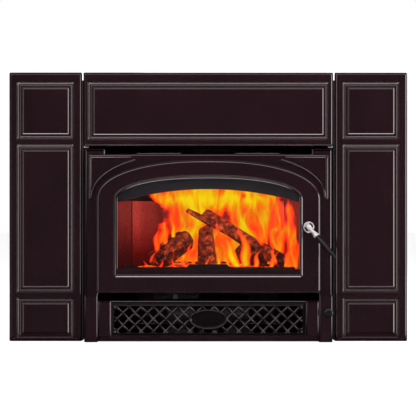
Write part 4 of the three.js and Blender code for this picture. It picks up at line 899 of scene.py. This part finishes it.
# -------- fire
def flame_material():
    """Light without a surface: the stored pair is the flame's heat and its presence."""
    mat, tree, out = new_material("flame")
    stored = add(tree, "ShaderNodeUVMap", uv_map="heat").outputs["UV"]
    heat, presence, _ = add(tree, "ShaderNodeSeparateXYZ", stored).outputs
    streak = maths(tree, "MULTIPLY_ADD", noise_at(tree, 34, 5, (1, 1, 0.3), 0.6), 0.5, -0.25)
    stops = [
        (0.02, (0.22, 0.002, 0.001)),
        (0.22, (0.70, 0.010, 0.001)),
        (0.42, (1.00, 0.050, 0.003)),
        (0.58, (1.00, 0.150, 0.004)),
        (0.74, (1.00, 0.330, 0.003)),
        (0.88, (1.00, 0.540, 0.001)),
        (1.00, (1.00, 0.690, 0.004)),
    ]
    color = ramp(tree, maths(tree, "ADD", streak, heat), stops)
    strength = maths(tree, "MULTIPLY", zone(tree, heat, 0.0, 0.46, 0.0, 0.76), presence)
    rest = ranged(tree, heat, 0.25, 0.62, 1.0, 0.28)
    veil = maths(tree, "MULTIPLY", maths(tree, "SUBTRACT", 1.0, rest), presence)
    fire = add(tree, "ShaderNodeEmission", color, strength).outputs[0]
    clear = add(tree, "ShaderNodeBsdfTransparent", maths(tree, "SUBTRACT", 1.0, veil)).outputs[0]
    tree.links.new(add(tree, "ShaderNodeAddShader", clear, fire).outputs[0], out.inputs["Surface"])
    return mat


flame = flame_material()


VIEW_X, VIEW_Y, VIEW_SCALE = 208.3, 341.1, 2.765  # the frontal view's middle and ground, and millimetres a unit
EYE_HEIGHT, EYE_REACH = 371, 3200


def seen_at(across, down, y):
    """The point at a depth that shows at a place of the frontal view, in its 416-wide units."""
    f = 1 + (y + 30) / EYE_REACH
    z = EYE_HEIGHT + ((VIEW_Y - down) * VIEW_SCALE - EYE_HEIGHT) * f
    return ((across - VIEW_X) * VIEW_SCALE * f, y, z)


def shown(p):
    """The place of the frontal view at which a point shows."""
    f = 1 + (p[1] + 30) / EYE_REACH
    return VIEW_X + p[0] / (VIEW_SCALE * f), VIEW_Y - (EYE_HEIGHT + (p[2] - EYE_HEIGHT) / f) / VIEW_SCALE


def fire_mesh(name, verts, faces, heats, shares=None):
    """A flame that casts no shadow; heats and shares are stored for its material."""
    made = make(name, verts, faces, flame, "body", (), 180)
    layer = made.data.uv_layers.new(name="heat")
    for loop, item in zip(made.data.loops, layer.data):
        item.uv = (heats[loop.vertex_index], shares[loop.vertex_index] if shares else 1.0)
    hide(made, "diffuse", "shadow")


def bell(x, y, cx, cy, sx, sy):
    return math.exp(-(((x - cx) / sx) ** 2) - ((y - cy) / sy) ** 2)


HOT = [
    # place in the frontal view, half widths, heat
    (214, 197, 40, 12, 0.33), (190, 216, 7, 20, 0.30), (201, 212, 3, 12, 0.22),
    (252, 204, 14, 13, 0.12), (267, 216, 4, 10, 0.36), (244, 228, 5.5, 16, 0.30),
    (172, 222, 4, 9, 0.25), (226, 216, 10, 7, -0.22), (289, 201, 10, 5.0, -0.50),
    (299, 221, 5.5, 14, -0.42), (243.8, 195.2, 2.2, 2.2, -0.40), (152, 204, 8, 10, -0.05),
    (168, 238, 6, 18, -0.16), (196, 250, 10, 10, -0.10), (240, 262, 16, 10, 0.20),
    (284, 240, 12, 22, -0.06),
]


def heat_at(across, down):
    """How hot the fire looks at a place of the frontal view."""
    turn = noise.noise(Vector((across * 0.045, down * 0.030, 2.0)))
    curl = noise.noise(Vector((across * 0.110, down * 0.075, 5.0)))
    side = across + 6.5 * turn + 2.4 * curl + 0.22 * (down - 215) * turn
    lift = down + 5.0 * curl
    heat = 0.56 + sum(h * bell(across + 3 * turn, down + 2 * curl, cx, cy, sx, sy) for cx, cy, sx, sy, h in HOT)
    ridge = 1 - 2 * abs(noise.noise(Vector((side * 0.080, lift * 0.030, 4.0))))
    wisp = 1 - 2 * abs(noise.noise(Vector((side * 0.18, lift * 0.060, 8.0))))
    fine = noise.noise(Vector((side * 0.45, lift * 0.12, 11.0)))
    return heat + 0.42 * (ridge - 0.62) + 0.22 * (wisp - 0.62) + 0.08 * fine


def rear_edge(across, down):
    """Fades the fire out to the left of its outline."""
    edge = 148 + (down - 197) if down < 212 else 163 - (down - 212) * 0.25
    edge += 5 * noise.noise(Vector((0.3, down * 0.10, 6.0))) + 2 * noise.noise(Vector((0.9, down * 0.35, 3.0)))
    return (across - edge) / 7.0


def sheet(name, plan, low, high, columns, rows, level):
    """A thin curtain of flame over a path on the floor; level gives its fade at (across, down, share up)."""
    lengths = [0.0]
    for a, b in zip(plan, plan[1:]):
        lengths.append(lengths[-1] + math.dist(a, b))
    verts, heats, shares = [], [], []
    for back in (0, 1):
        for c in range(columns + 1):
            along = lengths[-1] * c / columns
            k = max(i for i in range(len(plan) - 1) if lengths[i] <= along + 1e-9)
            share = (along - lengths[k]) / (lengths[k + 1] - lengths[k])
            x = plan[k][0] + (plan[k + 1][0] - plan[k][0]) * share
            y = plan[k][1] + (plan[k + 1][1] - plan[k][1]) * share
            for r in range(rows + 1):
                z = low + (high - low) * r / rows
                depth = y + 2.5 * noise.noise(Vector((x * 0.03, z * 0.02, 1.3))) + back * 1.5
                across, down = shown((x, depth, z))
                edge, presence = level(across, down, r / rows)
                verts.append((x, depth, z))
                heats.append(max(0.0, heat_at(across, down) * min(1.0, max(0.0, edge))))
                shares.append(min(1.0, max(0.0, presence)))
    faces = []
    per = rows + 1
    total = per * (columns + 1)
    for c in range(columns):
        for r in range(rows):
            a = c * per + r
            faces.append((a, a + per, a + per + 1, a + 1))
            faces.append((total + a, total + a + 1, total + a + per + 1, total + a + per))
        a, b = c * per, (c + 1) * per
        faces.append((a, total + a, total + b, b))
        a, b = a + rows, b + rows
        faces.append((a, b, total + b, total + a))
    for r in range(rows):
        faces.append((r, r + 1, total + r + 1, total + r))
        a = columns * per + r
        faces.append((a, total + a, total + a + 1, a + 1))
    fire_mesh(name, verts, faces, heats, shares)


sheet(
    "flames_rear",
    [(-172, 214), (-120, 262), (-40, 276), (50, 272), (118, 246), (150, 190), (178, 116), (200, 52)],
    206, 409, 300, 120,
    lambda across, down, up: (rear_edge(across, down), (1 - up) * 7),
)
sheet(
    "flames_top",
    [(-214, 30), (-150, 44), (0, 48), (120, 46), (190, 36)],
    362, 436, 260, 60,
    lambda across, down, up: (rear_edge(across, down), up * 2.6),
)
sheet(
    "flames_right",
    [(196, 58), (214, 26), (230, 13), (246, 10)],
    200, 418, 70, 130,
    lambda across, down, up: ((across - 275) / 4.0, up * 30),
)


TONGUES = [
    # foot and tip in the frontal view, width, depth, heat, seed
    (157, 252, 157, 225, 8.5, 24, 0.62, 1), (150, 263, 158, 246, 5.0, 20, 0.36, 2),
    (166, 246, 165, 222, 7.5, 60, 0.66, 3), (174, 240, 172, 214, 6.0, 90, 0.95, 4),
    (187, 263, 192, 240, 7.5, 22, 0.60, 6), (192, 268, 197, 250, 6.0, 14, 0.66, 7),
    (184, 268, 181, 254, 5.0, 14, 0.55, 8), (239, 270, 219, 229, 14.0, 26, 1.05, 9),
    (247, 270, 241, 224, 14.0, 30, 0.92, 10), (219, 268, 218, 252, 4.4, 12, 1.10, 11),
    (231, 254, 214, 219, 10.0, 34, 0.62, 12), (270, 269, 277, 250, 7.0, 14, 0.72, 13),
    (276, 264, 270, 244, 6.0, 14, 0.64, 14), (287, 268, 291, 236, 10.0, 12, 0.62, 15),
    (296, 270, 297, 232, 8.0, 10, 0.58, 16), (262, 246, 256, 214, 10.0, 40, 0.60, 17),
    (205, 270, 209, 256, 4.4, 12, 0.66, 20), (176, 269, 170, 257, 4.4, 12, 0.55, 21),
    (160, 270, 163, 258, 5.0, 12, 0.50, 22), (146, 270, 145, 259, 5.0, 12, 0.45, 23),
    (228, 270, 226, 250, 6.0, 14, 0.80, 24), (255, 270, 259, 248, 8.0, 14, 0.66, 25),
]


def tongues():
    """Single tongues of flame, as one piece."""
    verts, faces, heats = [], [], []
    sides, stations = 22, 34
    for foot_x, foot_y, tip_x, tip_y, wide, depth, level, seed in TONGUES:
        start = len(verts)
        for k in range(stations + 1):
            t = k / stations
            sway = 0.28 * wide * math.sin(2.6 * t * math.pi + seed) * t
            cx = foot_x + (tip_x - foot_x) * t + sway
            cy = foot_y + (tip_y - foot_y) * t
            half = 0.5 * wide * max(0.03, (math.sin(math.pi * min(1, 0.12 + 0.88 * t)) ** 0.8) * (1.15 - 0.75 * t))
            for i in range(sides):
                turn = TURN * i / sides
                a = math.cos(turn)
                ripple = 1 + 0.16 * noise.noise(Vector((seed, t * 6, a * 2)))
                x, y, z = seen_at(cx + a * half * ripple, cy, depth + math.sin(turn) * half * 0.9)
                verts.append((x, max(y, 1.0), max(z, 186.0)))
                fall = (1 - a * a) ** 1.1
                tail = min(1.0, t / 0.12) * (1 - t**3)
                heats.append(level * fall * (0.35 + 0.65 * tail) * (1.05 - 0.35 * t))
        for k in range(stations):
            for i in range(sides):
                j = (i + 1) % sides
                a, b = start + k * sides, start + (k + 1) * sides
                faces.append((a + i, a + j, b + j, b + i))
        faces.append(tuple(start + i for i in reversed(range(sides))))
        faces.append(tuple(start + stations * sides + i for i in range(sides)))
    fire_mesh("flames_front", verts, faces, heats)


tongues()


def glow(name, place, power, size, color):
    """A lamp inside the fire, not seen itself."""
    lamp = bpy.data.lights.new(name, "POINT")
    lamp.energy = power
    lamp.color = color
    lamp.shadow_soft_size = size
    made = bpy.data.objects.new(name, lamp)
    bpy.context.scene.collection.objects.link(made)
    made.location = place
    hide(made, "camera", "glossy", "transmission")


glow("fire_left", (-0.03, 0.02, 0.405), 2.3, 0.06, (1.0, 0.25, 0.13))
glow("fire_right", (0.12, 0.06, 0.37), 0.6, 0.05, (1.0, 0.25, 0.13))
glow("fire_front", (0.02, 0.010, 0.225), 0.20, 0.02, (1.0, 0.34, 0.10))
glow("fire_core", (0.06, 0.12, 0.30), 0.8, 0.03, (1.0, 0.38, 0.10))

# -------- lamps, world and floor
def area(name, location, look, size, size_y, power, seen=True):
    lamp = bpy.data.lights.new(name, "AREA")
    lamp.shape = "RECTANGLE"
    lamp.size, lamp.size_y = size, size_y
    lamp.energy = power
    made = bpy.data.objects.new(name, lamp)
    bpy.context.scene.collection.objects.link(made)
    made.location = location
    made.rotation_euler = (Vector(look) - Vector(location)).to_track_quat("-Z", "Y").to_euler()
    made.visible_camera = False
    made.visible_glossy = seen


area("overhead", (0.0, -0.5, 2.6), (0, 0.1, 0.4), 2.2, 1.6, 60, seen=False)
area("right_softbox", (2.6, -1.1, 0.9), (0.2, 0, 0.35), 1.2, 1.6, 42, seen=False)
area("left_fill", (-2.8, -1.0, 1.0), (-0.2, 0, 0.35), 0.7, 1.4, 6, seen=False)
area("rear_softbox", (0.6, 3.0, 1.6), (0, 0.3, 0.35), 2.0, 1.4, 24)


def backdrop():
    """White to the camera; reflections find dark in front, and soft light at the right, below and round the front."""
    world = bpy.data.worlds.new("studio")
    bpy.context.scene.world = world
    world.use_nodes = True
    tree = world.node_tree
    tree.nodes.clear()
    out = tree.nodes.new("ShaderNodeOutputWorld")
    path = add(tree, "ShaderNodeLightPath").outputs
    x, y, z = axes(tree, "Generated")
    level = zone(tree, maths(tree, "ABSOLUTE", z), 0.30, 0.16)
    upright = zone(tree, maths(tree, "ABSOLUTE", x), 0.42, 0.26)
    right = maths(tree, "MULTIPLY", zone(tree, x, 0.58, 0.76, 0.0, 3.9), level)
    below = maths(tree, "MULTIPLY", zone(tree, z, -0.66, -0.78, 0.0, 5.6), upright)
    broad = maths(tree, "MULTIPLY", maths(tree, "MAXIMUM", right, below), zone(tree, y, -0.08, -0.26, 0.03, 1.0))
    left = maths(tree, "MULTIPLY", zone(tree, x, -0.28, -0.42), zone(tree, x, -0.72, -0.58, 0.0, 1.3))
    left = maths(tree, "MULTIPLY", left, level)
    above = maths(tree, "MULTIPLY", zone(tree, z, 0.28, 0.42), zone(tree, z, 0.74, 0.60, 0.0, 1.9))
    narrow = maths(tree, "MULTIPLY", maths(tree, "MAXIMUM", left, above), zone(tree, y, -0.45, -0.65))
    total = maths(tree, "ADD", maths(tree, "ADD", broad, narrow), 0.045)
    soft = add(tree, "ShaderNodeBackground", (1, 1, 1, 1), 0.30).outputs[0]
    white = add(tree, "ShaderNodeBackground", (1, 1, 1, 1), 1.0).outputs[0]
    mirrored = add(tree, "ShaderNodeBackground", (1, 0.88, 0.87, 1), total).outputs[0]
    lit = add(tree, "ShaderNodeMixShader", path["Is Glossy Ray"], soft, mirrored).outputs[0]
    sky = add(tree, "ShaderNodeMixShader", path["Is Camera Ray"], lit, white).outputs[0]
    tree.links.new(sky, out.inputs["Surface"])


def stage_plane(name, x0, x1, y0, y1, z, mat):
    """A flat sheet of the studio, not part of the piece."""
    mesh = bpy.data.meshes.new(name)
    mesh.from_pydata([(x0, y0, 0), (x1, y0, 0), (x1, y1, 0), (x0, y1, 0)], [], [(0, 1, 2, 3)])
    mesh.materials.append(mat)
    made = bpy.data.objects.new(name, mesh)
    made.location.z = z
    bpy.context.scene.collection.objects.link(made)
    return made


def floor():
    mat, tree, out = new_material("pale_floor")
    cloth = add(tree, "ShaderNodeBsdfDiffuse", (0.92, 0.92, 0.92, 1), 0.5).outputs[0]
    bright = add(tree, "ShaderNodeEmission", Strength=1.35).outputs[0]
    seen = maths(tree, "MULTIPLY", add(tree, "ShaderNodeLightPath").outputs["Is Camera Ray"], 0.62)
    tree.links.new(add(tree, "ShaderNodeMixShader", seen, cloth, bright).outputs[0], out.inputs["Surface"])
    reach = 14.0
    stage_plane("studio_floor", -reach, reach, -reach, reach, -0.0005, mat).visible_glossy = False


def shade_card():
    """A dark card on the floor at the foot of the piece, seen in its reflections only."""
    dark = surface("card", (0.004, 0.004, 0.004), (0.010, 0.010, 0.010), (0.9, 1.0), 20, 200, 0.1, 0.0004)
    card = stage_plane("shade_card", -1.2, 1.2, -0.13, 0.02, -0.0004, dark)
    hide(card, "camera", "diffuse", "shadow", "transmission")


backdrop()
floor()
shade_card()

# -------- finishes on the carried-over nodes
carried = {
    "black_steel": black_steel, "zinc_steel": zinc_steel, "nickel": nickel, "black_grip": black_grip, "board": board,
    "enamel": enamel, "fire_brick": fire_brick, "door_glass": clear_glass, "rope": rope, "bark": bark, "ember": embers,
}
for entry in frame["record"]["subparts"]:
    if entry["material_slot"] in carried:
        node = nodes[entry["node"]]
        node.data.materials.clear()
        node.data.materials.append(carried[entry["material_slot"]])
